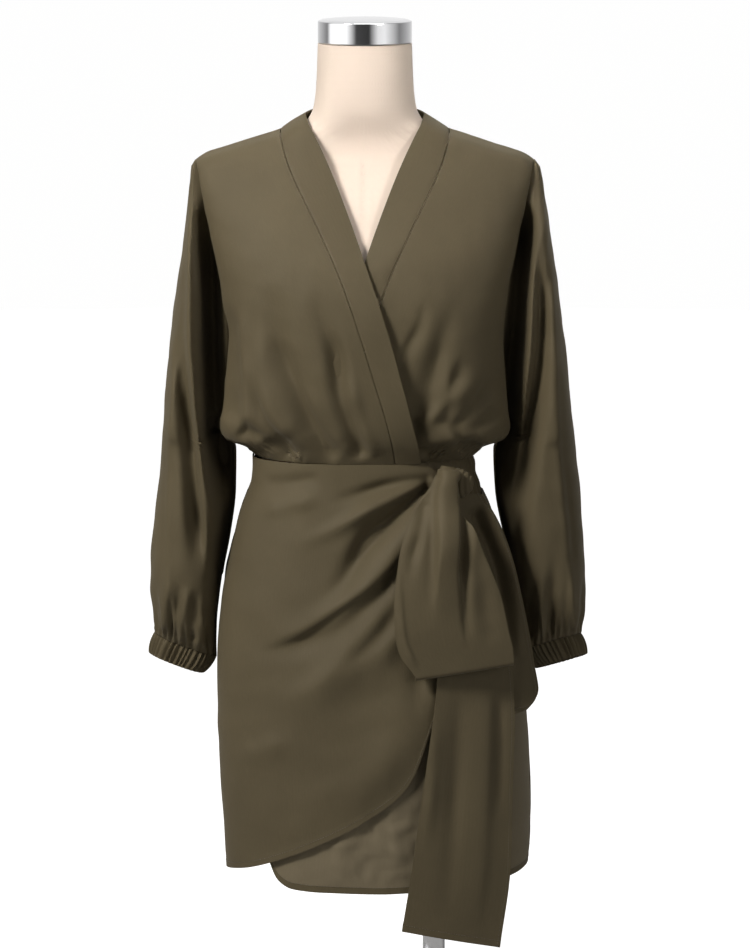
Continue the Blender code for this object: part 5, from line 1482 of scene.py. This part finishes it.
# ---- The skirt ----
@dataclass
class Skirt:
    """The outer wrap, the underlap, the back and the elastic casing."""

    wrap_step: float = 0.007
    deepest: float = 0.013  # no crease of the wrap goes deeper
    rumple: float = 0.0007
    seam_turn: float = 0.0014  # half the angle that a side seam's gap takes up
    sections: Sections = Sections("z right left front back", (
        (WAIST_Z, 0.1245, 0.1215, 0.093, 0.08), (0.613, 0.1265, 0.127, 0.0955, 0.086),
        (0.597, 0.132, 0.1325, 0.098, 0.091), (0.58, 0.1385, 0.1405, 0.1, 0.0975),
        (0.535, 0.1495, 0.153, 0.106, 0.112), (0.4725, 0.161, 0.166, 0.112, 0.124),
        (0.415, 0.1655, 0.175, 0.116, 0.13), (0.335, 0.165, 0.183, 0.12, 0.132),
        (0.254, 0.161, 0.1865, 0.123, 0.132), (0.16, 0.155, 0.1847, 0.125, 0.13)))
    wrap_top: tuple = ((-0.1245, 0.6416), (0.0, 0.6416), (0.06, 0.6416), (0.0715, 0.635), (0.079, 0.6265))
    wrap_edge: tuple = ((0.079, 0.6265), (0.086, 0.6), (0.09, 0.52), (0.089, 0.44), (0.081, 0.385))
    wrap_hem: tuple = ((-0.1553, 0.172), (-0.1349, 0.179), (-0.1091, 0.187), (-0.0682, 0.204),
                       (-0.03, 0.223), (0.0079, 0.245), (0.03, 0.261), (0.046, 0.2765), (0.059, 0.3),
                       (0.069, 0.335), (0.081, 0.385))
    under_top: tuple = ((0.1325, 0.5966), (0.05, 0.5966), (-0.085, 0.5966))
    under_edge: tuple = ((-0.085, 0.5966), (-0.096, 0.45), (-0.105, 0.3), (-0.1085, 0.2))
    under_hem: tuple = ((0.1846, 0.177), (0.164, 0.174), (0.125, 0.169), (0.0478, 0.1645), (0.0112, 0.163),
                        (-0.03, 0.164), (-0.061, 0.1645), (-0.0833, 0.1665), (-0.0985, 0.176),
                        (-0.1085, 0.2))
    back_hem: tuple[float, float, float] = (0.172, 0.175, 0.177)
    casing_end: tuple[float, float] = (-0.085, 0.6)
    casing_ribs: int = 46
    casing_channels: int = 2
    wrap_creases: tuple[Crease, ...] = (
        Crease(((-0.1163, 0.6159), (-0.0822, 0.6204), (-0.0437, 0.6282)), -0.0035, 0.007, 0.009),
        Crease(((-0.1202, 0.5847), (-0.0889, 0.5937), (-0.04, 0.608)), 0.0032, 0.01, 0.009),
        Crease(((0.077, 0.624), (0.0343, 0.6204), (-0.0123, 0.6081), (-0.05, 0.596)),
            -0.0055, 0.007, 0.006, 0.06, 0.5),
        Crease(((0.079, 0.6235), (0.0541, 0.614), (0.0152, 0.5981), (-0.0438, 0.5662), (-0.085, 0.55)),
            0.0085, 0.009, 0.008, 0.06, 0.55),
        Crease(((0.078, 0.617), (0.064, 0.61), (0.0343, 0.5859), (0.0035, 0.558), (-0.0241, 0.5143),
            (-0.048, 0.49)), -0.016, 0.011, 0.01, 0.04, 0.45),
        Crease(((0.08, 0.608), (0.06, 0.58), (0.0398, 0.5535), (-0.0053, 0.4975), (-0.0639, 0.4538),
            (-0.1169, 0.4358)), 0.011, 0.011, 0.017, 0.05, 0.4),
        Crease(((0.05, 0.542), (0.0328, 0.5233), (0.0057, 0.5009), (-0.0241, 0.4796), (-0.0716, 0.447),
            (-0.1247, 0.4274)), -0.01, 0.015, 0.006, 0.2, 0.35),
        Crease(((0.062, 0.54), (0.04, 0.485), (0.0079, 0.447), (-0.0208, 0.4245), (-0.0485, 0.402)),
            -0.0055, 0.01, 0.01, 0.2, 0.45),
        Crease(((-0.0763, 0.3388), (-0.1107, 0.3241), (-0.1451, 0.3116)), 0.003, 0.015, 0.012),
        Crease(((0.07, 0.5), (0.02, 0.42), (-0.04, 0.37), (-0.105, 0.34)),
            -0.006, 0.03, 0.026, 0.3, 0.45),
        Crease(((0.055, 0.53), (0.0, 0.445), (-0.06, 0.39), (-0.12, 0.36)),
            0.01, 0.055, 0.018, 0.3, 0.45),
        Crease(((0.07, 0.42), (0.035, 0.33), (-0.01, 0.28), (-0.07, 0.24)),
            0.006, 0.024, 0.026, 0.3, 0.45),
        Crease(((0.08, 0.59), (0.06, 0.52), (0.035, 0.455), (-0.005, 0.39)),
            0.0055, 0.012, 0.012, 0.08, 0.45),
        Crease(((0.085, 0.57), (0.075, 0.485), (0.06, 0.4), (0.045, 0.33)),
            -0.0055, 0.012, 0.012, 0.1, 0.4))
    under_creases: tuple[Crease, ...] = (
        Crease(((0.085, 0.56), (0.1, 0.4), (0.105, 0.2)), 0.004, 0.016, 0.012),
        Crease(((0.03, 0.3), (0.034, 0.22), (0.036, 0.165)), 0.003, 0.014, 0.01),
        Crease(((-0.02, 0.26), (-0.03, 0.2), (-0.034, 0.166)), 0.0025, 0.014, 0.01))
    back_drapes: tuple[Drape, ...] = (
        Drape(0.1, 0.12, 0.005, 0.04, 0.597, 0.33), Drape(0.26, 0.24, 0.006, 0.045, 0.597, 0.15),
        Drape(0.41, 0.42, 0.005, 0.04, 0.597, 0.28), Drape(0.56, 0.58, 0.006, 0.045, 0.597, 0.15),
        Drape(0.72, 0.75, 0.005, 0.04, 0.597, 0.23), Drape(0.88, 0.9, 0.006, 0.045, 0.597, 0.15))

    def point(self, turn: np.ndarray, z: np.ndarray, out: np.ndarray | float = 0.0) -> np.ndarray:
        """Points of the skirt's inner layer, or of one that lies farther out.

        Args:
            turn: their angles.
            z: their heights.
            out: how much farther out they lie.

        Returns:
            The points.
        """
        wide, deep = squircle(turn)
        read = self.sections.read
        half = np.where(np.sin(turn) > 0, read("left", z), read("right", z)) + out
        depth = np.where(np.cos(turn) > 0, read("front", z), read("back", z)) + out
        return np.stack([half * wide, -depth * deep, np.broadcast_to(z, np.shape(half * wide))], axis=-1)

    def turns(self, points: np.ndarray) -> np.ndarray:
        """The angles of points of the skirt's front.

        Args:
            points: their x and z.

        Returns:
            Their angles and heights.
        """
        half = np.where(points[:, 0] > 0, self.sections.read("left", points[:, 1]),
                        self.sections.read("right", points[:, 1]))
        return np.stack([turn_of(points[:, 0] / half), points[:, 1]], axis=1)

    def border(self, points: Line, count: int) -> np.ndarray:
        """An evenly spaced border line as angles and heights, from points seen from the front."""
        return self.turns(spaced(points, count))

    def side_line(self, turn: float, z_top: float, z_foot: float, count: int) -> np.ndarray:
        """The border down a side seam."""
        return np.stack([np.full(count, turn), np.linspace(z_top, z_foot, count)], axis=1)

    def wrap(self) -> Panel:
        """The outer wrap, from the right side seam to its free edge in the tie.

        Returns:
            The panel.
        """
        rows, columns = 160, 160
        seam = self.side_line(self.seam_turn - pi / 2, self.wrap_top[0][1], self.wrap_hem[0][1], rows)
        border = patch(self.border(self.wrap_top, columns), self.border(self.wrap_hem, columns), seam,
                       self.border(self.wrap_edge, rows))
        turn, z = border[..., 0], border[..., 1]
        grid = self.point(turn, z, self.wrap_step * ease(-pi / 2, -0.95, turn))
        x = grid[..., 0]
        lift = sum(crease.lift(x, z) for crease in self.wrap_creases)
        lift = np.maximum(lift, -self.deepest) * ease(-pi / 2, -1.15, turn)
        lift = lift * ease(WAIST_Z, WAIST_Z - 0.012, z)
        lift = lift + self.rumple * ripple(x, z, 0.07, 1.0) * ease(-pi / 2, -1.3, turn)
        panel = Panel("skirt_front_right", grid, Cut(0.43, 0.48, 0.14, "draped", "skirt_front_left_crepe"),
                      (0, 0, 0.4), hems={Edge.FOOT: 0.008})
        panel.lift(lift)
        return panel

    def underlap(self) -> Panel:
        """The underlap, from the left side seam to its free edge under the wrap.

        Returns:
            The panel.
        """
        rows, columns = 120, 130
        seam = self.side_line(pi / 2 - self.seam_turn, self.under_top[0][1], self.under_hem[0][1], rows)
        border = patch(self.border(self.under_top, columns), self.border(self.under_hem, columns), seam,
                       self.border(self.under_edge, rows))
        turn, z = border[..., 0], border[..., 1]
        grid = self.point(turn, z)
        covered = ease(0.3, 0.6, z) * ease(0.085, 0.03, grid[..., 0])
        lift = sum(crease.lift(grid[..., 0], z) for crease in self.under_creases) * (1 - covered)
        lift = lift + 0.0006 * ripple(grid[..., 0], z, 0.06, 2.0) * (1 - covered)
        rumple = ripple(grid[..., 0], z, 0.03, 2.6) * ease(0.3, 0.22, z) * ease(0.165, 0.185, z)
        lift = lift + 0.0011 * rumple * ease(0.075, 0.045, np.abs(grid[..., 0] - 0.01))
        hem = through([p[0] for p in self.wrap_hem], [p[1] for p in self.wrap_hem], grid[..., 0])
        pressed = sum(crease.lift(grid[..., 0], z) for crease in self.wrap_creases)
        lift = lift + np.clip(pressed, -0.01, 0) * ease(hem + 0.015, hem + 0.055, z)
        panel = Panel("skirt_front_left", grid, Cut(0.39, 0.46, 0.15, "draped", "waist_casing_crepe"),
                      (0, 0, 0.4), hems={Edge.FOOT: 0.009})
        panel.lift(lift)
        return panel

    def back(self) -> Panel:
        """The skirt's back, from the right side seam to the left.

        Returns:
            The panel.
        """
        rows, columns = 100, 140
        share = np.linspace(0, 1, columns)
        turn = -pi / 2 - self.seam_turn - (pi - 2 * self.seam_turn) * share
        hem = through([0, 0.5, 1], self.back_hem, share)
        top = CASING_BOTTOM_Z - SEAM_GAP
        z = top + (hem - top) * np.linspace(0, 1, rows)[:, None]
        grid = self.point(np.broadcast_to(turn, z.shape), z)
        lift = sum(drape.lift(share, z) for drape in self.back_drapes)
        lift = lift * between(0.1, 0.9, share)
        lift = lift + self.rumple * ripple(grid[..., 0], z, 0.07, 4.0) * between(0.06, 0.94, share)
        panel = Panel("skirt_back", grid, Cut(0.51, 0.44, 0.208, "draped", "waist_casing_crepe"),
                      (0, 0, 0.4), hems={Edge.FOOT: 0.008})
        panel.lift(lift)
        return panel

    def casing(self) -> Panel:
        """The elastic casing, from the right side round the back to the underlap's edge.

        Returns:
            The panel.
        """
        rows, columns = 30, 360
        share = np.linspace(0, 1, columns)
        end = self.turns(np.array([self.casing_end]))[0, 0]
        turn = -pi / 2 - 0.004 + (end - 1.5 * pi + 0.004) * share
        level = np.linspace(0, 1, rows)[:, None]
        top = WAIST_Z - SEAM_GAP
        z = top + (CASING_BOTTOM_Z - top) * level
        channel = 0.5 - 0.5 * np.cos(2 * np.pi * self.casing_channels * level)
        warp = share + 0.004 * np.sin(share * 71.0) + 0.002 * np.sin(share * 163.0)
        lean = 0.1 * np.sin(share * 37.0) * level
        rib = np.cos(2 * np.pi * (self.casing_ribs * warp + lean))
        rib = 0.5 - 0.5 * rib * (0.75 + 0.25 * np.sin(share * 53.0))
        turns, heights = np.meshgrid(turn, z[:, 0])
        grid = self.point(turns, heights, -0.0018 * (1 - channel) * 0.8 - 0.0014 * rib)
        return Panel("waist_casing", grid, Cut(0.74, 0.048, 0.035, "gathered"), (0, 0, 0.6),
                     thickness=0.0012)


# ---- The tie ----
class TieRow(NamedTuple):
    """The left and right edges of a piece of the tie, and how far it bows to the front."""

    x_left: float
    z_left: float
    y_left: float
    x_right: float
    z_right: float
    y_right: float
    bow: float


@dataclass
class Tie:
    """The knot, the front loop and the two hanging ends."""

    loop_depth: float = 0.0095
    knot_centre: tuple[float, float, float] = (0.102, -0.0915, 0.62)
    knot_size: tuple[float, float, float] = (0.018, 0.0115, 0.017)
    knot_gathers: int = 8
    knot_gather_depth: float = 0.0013
    loop_rows: tuple[TieRow, ...] = (
        TieRow(0.085, 0.6395, -0.1, 0.099, 0.6375, -0.099, 0.003),
        TieRow(0.0775, 0.629, -0.1085, 0.102, 0.624, -0.1065, 0.005),
        TieRow(0.0715, 0.6165, -0.1125, 0.1045, 0.6075, -0.1085, 0.006),
        TieRow(0.0572, 0.5984, -0.119, 0.106, 0.5925, -0.113, 0.008),
        TieRow(0.0451, 0.5702, -0.129, 0.115, 0.571, -0.118, 0.01),
        TieRow(0.0381, 0.5444, -0.135, 0.1268, 0.546, -0.12, 0.01),
        TieRow(0.0321, 0.4891, -0.141, 0.1491, 0.5, -0.123, 0.007),
        TieRow(0.0332, 0.4599, -0.143, 0.1582, 0.4598, -0.123, 0.005),
        TieRow(0.0372, 0.44, -0.143, 0.163, 0.439, -0.122, 0.003),
        TieRow(0.056, 0.412, -0.142, 0.1642, 0.4255, -0.121, 0.001))
    long_rows: tuple[TieRow, ...] = (
        TieRow(0.087, 0.602, -0.096, 0.101, 0.602, -0.0945, 0.0),
        TieRow(0.0835, 0.57, -0.106, 0.114, 0.57, -0.0962, 0.001),
        TieRow(0.0815, 0.52, -0.115, 0.134, 0.52, -0.092, 0.001),
        TieRow(0.081, 0.46, -0.1215, 0.152, 0.46, -0.089, 0.001),
        TieRow(0.0793, 0.3967, -0.1265, 0.164, 0.4, -0.0895, 0.002),
        TieRow(0.0703, 0.3294, -0.132, 0.1662, 0.35, -0.094, 0.003),
        TieRow(0.0633, 0.2761, -0.134, 0.1642, 0.2836, -0.1, 0.004),
        TieRow(0.0512, 0.1877, -0.135, 0.1622, 0.1929, -0.105, 0.005),
        TieRow(0.0411, 0.1234, -0.135, 0.1504, 0.0985, -0.108, 0.003))
    short_rows: tuple[TieRow, ...] = (
        TieRow(0.105, 0.6065, -0.089, 0.1285, 0.606, -0.079, 0.0),
        TieRow(0.107, 0.575, -0.0925, 0.146, 0.575, -0.075, 0.0),
        TieRow(0.109, 0.54, -0.0962, 0.16, 0.54, -0.0725, 0.0),
        TieRow(0.113, 0.49, -0.1, 0.1735, 0.487, -0.072, 0.0),
        TieRow(0.118, 0.445, -0.101, 0.1825, 0.448, -0.072, 0.0),
        TieRow(0.124, 0.405, -0.101, 0.1885, 0.413, -0.073, 0.0),
        TieRow(0.129, 0.376, -0.101, 0.193, 0.386, -0.074, 0.0),
        TieRow(0.132, 0.36, -0.101, 0.1895, 0.374, -0.076, 0.0),
        TieRow(0.134, 0.35, -0.101, 0.18, 0.363, -0.079, 0.0))

    loop_creases: tuple[Crease, ...] = (
        Crease(((0.085, 0.634), (0.0753, 0.61), (0.0758, 0.563), (0.0748, 0.521), (0.0727, 0.47)),
            -0.005, 0.004, 0.009, 0.05, 0.55),
        Crease(((0.092, 0.637), (0.0885, 0.612), (0.088, 0.575), (0.087, 0.54), (0.085, 0.5),
            (0.082, 0.46)), 0.0105, 0.033, 0.0115, 0.03, 0.55, 2.4),
        Crease(((0.081, 0.598), (0.0802, 0.56), (0.0792, 0.521), (0.0743, 0.48)), 0.002, 0.003, 0.002),
        Crease(((0.101, 0.63), (0.1045, 0.612), (0.1055, 0.579), (0.106, 0.547), (0.108, 0.508),
            (0.1115, 0.465), (0.115, 0.435)), -0.012, 0.007, 0.004, 0.05, 0.55, 2.4),
        Crease(((0.108, 0.602), (0.1141, 0.578), (0.123, 0.556), (0.1359, 0.5345), (0.143, 0.511),
            (0.148, 0.475)), 0.005, 0.006, 0.009, 0.05, 0.5),
        Crease(((0.0648, 0.608), (0.0605, 0.575), (0.0518, 0.541), (0.048, 0.51)), -0.0045, 0.007, 0.006,
            0.08, 0.5),
        Crease(((0.037, 0.53), (0.0385, 0.508), (0.0431, 0.459), (0.06, 0.415)), 0.0022, 0.003, 0.006,
            0.3, 0.2),
        Crease(((0.13, 0.52), (0.135, 0.48), (0.14, 0.44)), -0.0025, 0.01, 0.01))
    long_creases: tuple[Crease, ...] = (
        Crease(((0.105, 0.415), (0.104, 0.33), (0.096, 0.2), (0.09, 0.12)), -0.004, 0.01, 0.012),
        Crease(((0.135, 0.415), (0.134, 0.33), (0.13, 0.21), (0.12, 0.11)), 0.0035, 0.009, 0.014),
        Crease(((0.078, 0.38), (0.074, 0.3), (0.065, 0.2)), 0.003, 0.009, 0.007),
        Crease(((0.15, 0.405), (0.151, 0.33), (0.148, 0.24)), -0.003, 0.006, 0.008))
    short_creases: tuple[Crease, ...] = (
        Crease(((0.12, 0.595), (0.127, 0.575), (0.142, 0.545), (0.154, 0.5), (0.162, 0.45),
            (0.166, 0.41)), -0.013, 0.006, 0.008, 0.08, 0.3, 2.4),
        Crease(((0.129, 0.6), (0.142, 0.575), (0.156, 0.54), (0.169, 0.49), (0.178, 0.44)),
            0.0045, 0.006, 0.005, 0.08, 0.35),
        Crease(((0.17, 0.43), (0.166, 0.39), (0.16, 0.36)), -0.0025, 0.008, 0.006))

    def row(self, row: TieRow, shares: np.ndarray, sink: float = 0.0) -> np.ndarray:
        """Points across a ribbon, bowed towards the front.

        Args:
            row: its edges.
            shares: shares of its width.
            sink: how far it is set back.

        Returns:
            The points.
        """
        left = np.array([row.x_left, row.y_left + sink, row.z_left])
        right = np.array([row.x_right, row.y_right + sink, row.z_right])
        line = left + (right - left) * shares[:, None]
        line[:, 1] -= row.bow * np.sin(np.pi * shares)
        return line

    def at(self, table: Sequence[TieRow], along: float) -> TieRow:
        """The ribbon's row at a share of its length."""
        at = np.linspace(0, 1, len(table))
        return TieRow(*(float(through(at, column, along)) for column in zip(*table)))

    def loop(self) -> Panel:
        """The loop, which turns under at its foot and comes up again behind itself.

        Returns:
            The panel.
        """
        rows, columns = 90, 90
        shares = np.linspace(0, 1, columns)
        front = [self.row(self.at(self.loop_rows, t), shares) for t in np.linspace(0, 1, rows)]
        foot, half = self.row(self.loop_rows[-1], shares), self.loop_depth / 2
        turn = [foot + (0.0, half * (1 - cos(a)), -half * sin(a))
                for a in np.linspace(0, pi, 12)[1:-1]]
        narrow = [self.loop_depth * (0.66 + 0.34 * ease(0, 0.25, t)) for t in np.linspace(1, 0, rows // 2)]
        back = [self.row(self.at(self.loop_rows, t), shares, sink)
                for t, sink in zip(np.linspace(1, 0, rows // 2), narrow)]
        grid = np.array(front + turn + back)
        panel = Panel("sash_loop", grid, Cut(0.13, 0.53, 0.047, "folded", "skirt_front_right_crepe"),
                      grid.mean(axis=(0, 1)))
        down = np.arange(len(grid))[:, None]
        panel.crease(self.loop_creases, ease(rows, rows - 8, down) * ease(0, 3, down))
        return panel

    def tail(self, name: str, table: Sequence[TieRow], creases: Sequence[Crease], cut: Cut) -> Panel:
        """A hanging end of the tie with its folds and narrow hems.

        Args:
            name: its name after sash_.
            table: its edges.
            creases: its folds.
            cut: its flat cut.

        Returns:
            The panel.
        """
        rows, columns = 130, 60
        shares = np.linspace(0, 1, columns)
        grid = np.array([self.row(self.at(table, t), shares) for t in np.linspace(0, 1, rows)])
        panel = Panel(f"sash_{name}", grid, cut, (0, 0.3, 0.4),
                      hems={Edge.FOOT: 0.009, Edge.LAST: 0.005})
        panel.crease(creases)
        return panel

    def knot(self, look: Material) -> Object:
        """The knot, wound round with gathers.

        Args:
            look: the cloth's material.

        Returns:
            The new object.
        """
        around, rings = 72, 60
        turn = np.linspace(0, 2 * np.pi, around, endpoint=False)
        stack = []
        for tilt in np.linspace(-0.49, 0.49, rings) * pi:
            depth = self.knot_gather_depth / self.knot_size[1]
            gather = 1 - depth * (0.5 - 0.5 * np.cos(self.knot_gathers * 2 * (tilt + 0.2 * np.sin(turn))))
            wide, high = squircle(turn)
            ring = np.stack([np.full(around, sin(tilt)), -wide * cos(tilt) * gather,
                             high * cos(tilt) * gather], axis=1)
            stack.append(ring * self.knot_size + self.knot_centre)
        made = capped("sash_knot_crepe", np.array(stack), look)
        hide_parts("sash_knot")
        return made


# ---- The studio ----
@dataclass
class Studio:
    """A pale floor, soft lights, a white surround and the camera."""

    camera_place: tuple[float, float, float] = (0.0112, -5.432, 1.476)
    camera_dip: float = 9.0
    lens: float = 186.5
    floor_radius: float = 6.5
    ambient: float = 0.1
    cards: tuple[tuple[float, float], ...] = (
        (0.0, 0.65), (0.15, 0.35), (0.21, 0.18), (0.245, 1.0), (0.37, 1.0), (0.44, 0.05), (0.53, 0.03),
        (0.59, 0.65), (0.64, 0.75), (0.76, 0.18), (1.0, 0.65))  # shares of a turn from the back by way of -X

    def floor(self) -> Object:
        """The pale floor that the stand rests on.

        Returns:
            The new object.
        """
        angle = np.linspace(0, 2 * np.pi, 96, endpoint=False)
        mesh = bpy.data.meshes.new("floor")
        ring = [(self.floor_radius * cos(a), self.floor_radius * sin(a), -0.0002) for a in angle]
        mesh.from_pydata(ring, [], [list(range(len(ring)))])
        w = Wiring("studio_floor")
        place = w.add("TexCoord")
        grain = w.add("TexNoise", Vector=place.outputs["Object"], Scale=3.0, Detail=3.0)
        tone = w.ramp(grain.outputs["Fac"], [(0.2, (0.49, 0.49, 0.485)), (0.8, (0.51, 0.51, 0.505))])
        path = w.add("LightPath")
        glow = w.add("Math", {"operation": "MULTIPLY"}, _0=path.outputs["Is Camera Ray"], _1=0.93)
        mesh.materials.append(w.finish(Base_Color=tone, Roughness=0.9, Emission_Color=(1.0, 0.998, 0.99, 1.0),
                                       Emission_Strength=glow.outputs[0]))
        made = bpy.data.objects.new("floor", mesh)
        bpy.context.scene.collection.objects.link(made)
        return made

    def light(self, name: str, place: tuple, aim: tuple, size: float, power: float,
              colour: tuple = (1, 1, 1), spread: float = 180) -> None:
        """A square soft box.

        Args:
            name: the light's name.
            place: where it stands.
            aim: the point that it faces.
            size: its side.
            power: its power in watts.
            colour: its colour.
            spread: how wide its beam is, in degrees.
        """
        data = bpy.data.lights.new(name, "AREA")
        data.size = size
        data.energy = power
        data.color = colour
        data.spread = radians(spread)
        made = bpy.data.objects.new(name, data)
        bpy.context.scene.collection.objects.link(made)
        made.location = place
        made.rotation_mode = "QUATERNION"
        made.rotation_quaternion = (Vector(aim) - Vector(place)).to_track_quat("-Z", "Y")

    def surround(self) -> None:
        """A white surround for the camera, a dim one for cloth and soft cards for polished metal."""
        world = bpy.data.worlds.new("studio")
        bpy.context.scene.world = world
        world.use_nodes = True
        tree = world.node_tree
        tree.nodes.clear()

        def add(kind: str) -> bpy.types.Node:
            """Adds a node to the world's tree."""
            return tree.nodes.new("ShaderNode" + kind)

        out, path, place, turn = add("OutputWorld"), add("LightPath"), add("TexCoord"), add("Mapping")
        round_, cards = add("TexGradient"), add("ValToRGB")
        seen, lit, mirrored = add("Background"), add("Background"), add("Background")
        inner, outer = add("MixShader"), add("MixShader")
        turn.inputs["Rotation"].default_value = (0, 0, pi / 2)
        round_.gradient_type = "RADIAL"
        while len(cards.color_ramp.elements) < len(self.cards):
            cards.color_ramp.elements.new(0.5)
        for element, (share, level) in zip(cards.color_ramp.elements, self.cards):
            element.position = share
            element.color = (level, level, level, 1)
        mirrored.inputs["Strength"].default_value = 1.4
        seen.inputs["Color"].default_value = (0.995, 0.995, 0.993, 1)
        lit.inputs["Color"].default_value = (1.0, 0.99, 0.97, 1)
        lit.inputs["Strength"].default_value = self.ambient
        for start, end in ((place.outputs["Generated"], turn.inputs["Vector"]),
                           (turn.outputs["Vector"], round_.inputs["Vector"]),
                           (round_.outputs["Fac"], cards.inputs["Fac"]),
                           (cards.outputs["Color"], mirrored.inputs["Color"]),
                           (path.outputs["Is Glossy Ray"], inner.inputs[0]),
                           (lit.outputs[0], inner.inputs[1]), (mirrored.outputs[0], inner.inputs[2]),
                           (path.outputs["Is Camera Ray"], outer.inputs[0]),
                           (inner.outputs[0], outer.inputs[1]), (seen.outputs[0], outer.inputs[2]),
                           (outer.outputs[0], out.inputs["Surface"])):
            tree.links.new(start, end)

    def camera(self) -> None:
        """The camera at the photograph's angle."""
        data = bpy.data.cameras.new("camera")
        data.lens = self.lens
        data.sensor_width = 36.0
        data.clip_end = 200.0
        made = bpy.data.objects.new("camera", data)
        bpy.context.scene.collection.objects.link(made)
        made.location = self.camera_place
        made.rotation_euler = (radians(90 - self.camera_dip), 0, 0)
        bpy.context.scene.camera = made

    def build(self) -> None:
        """Sets the studio up."""
        self.floor()
        self.surround()
        self.light("key", (-1.9, -1.9, 2.5), (-0.05, -0.1, 0.84), 0.8, 12.6, (1.0, 0.975, 0.95), 62)
        self.light("fill", (2.4, -3.2, 1.9), (0.0, 0.0, 0.88), 1.6, 2.6, (1.0, 0.98, 0.97), 60)
        self.light("neck", (1.9, -2.6, 1.9), (0.0, 0.0, 1.11), 0.5, 0.32, (1.0, 0.97, 0.94), 12)
        self.light("top", (0.1, 0.3, 2.9), (0.0, 0.0, 0.9), 0.9, 20)
        self.camera()
        bpy.context.scene.view_settings.view_transform = "Standard"


def main() -> None:
    """Builds every piece in order."""
    logging.basicConfig(level=logging.INFO, format="%(message)s")
    crepe = Crepe("olive_crepe").material()
    # The underlap's single layer gets a lighter copy of the crepe: painted light shining through it from
    # behind. Its doubled hem keeps the plain crepe.
    under = Crepe("olive_crepe_single_painted_backlight", colour=(0.163, 0.134, 0.084)).material()
    thread = Thread("olive_thread").material()
    chrome = Chrome("polished_chrome").material()
    form = DressForm()
    bodice, sleeves, skirt, tie = Bodice(), Sleeves(), Skirt(), Tie()
    form.torso(Jersey("cream_jersey").material())
    form.neck_cap(chrome)
    form.stand(chrome)
    fronts = {side: bodice.front_panel(side) for side in Side}
    back = bodice.back_panel()
    panels = [*fronts.values(), back, *(bodice.band_panel(side) for side in Side)]
    panels += [sleeves.panel(side, fronts[side].grid, back.grid) for side in Side]
    panels += [sleeves.cuff(side) for side in Side]
    panels += [skirt.casing(), skirt.wrap(), skirt.underlap(), skirt.back()]
    panels += [tie.loop(),
               tie.tail("long_tail", tie.long_rows, tie.long_creases,
                        Cut(0.12, 0.52, 0.046, "hung", "skirt_front_left_crepe")),
               tie.tail("short_tail", tie.short_rows, tie.short_creases,
                        Cut(0.074, 0.262, 0.0165, "hung", "skirt_front_left_crepe"))]
    knot = tie.knot(crepe)
    for panel in panels:
        # The underlap takes the lighter crepe with painted light shining through it, and its hem band the
        # plain crepe.
        made = panel.build(under, crepe) if panel.node == "skirt_front_left" else panel.build(crepe)
        pieces = [knot] if panel.node == "sash_loop" else []
        if panel.hems:
            stitching = Stitching(panel.node + "_stitches")
            for edge, width in panel.hems.items():
                stitching.add(panel, edge, width - STITCH_INSET)
            pieces.append(stitching.build(thread))
        panel.declare(made, pieces)
        log.info("%s: %d faces", made.name, len(made.data.polygons))
    Studio().build()


if __name__ == "__main__":
    main()
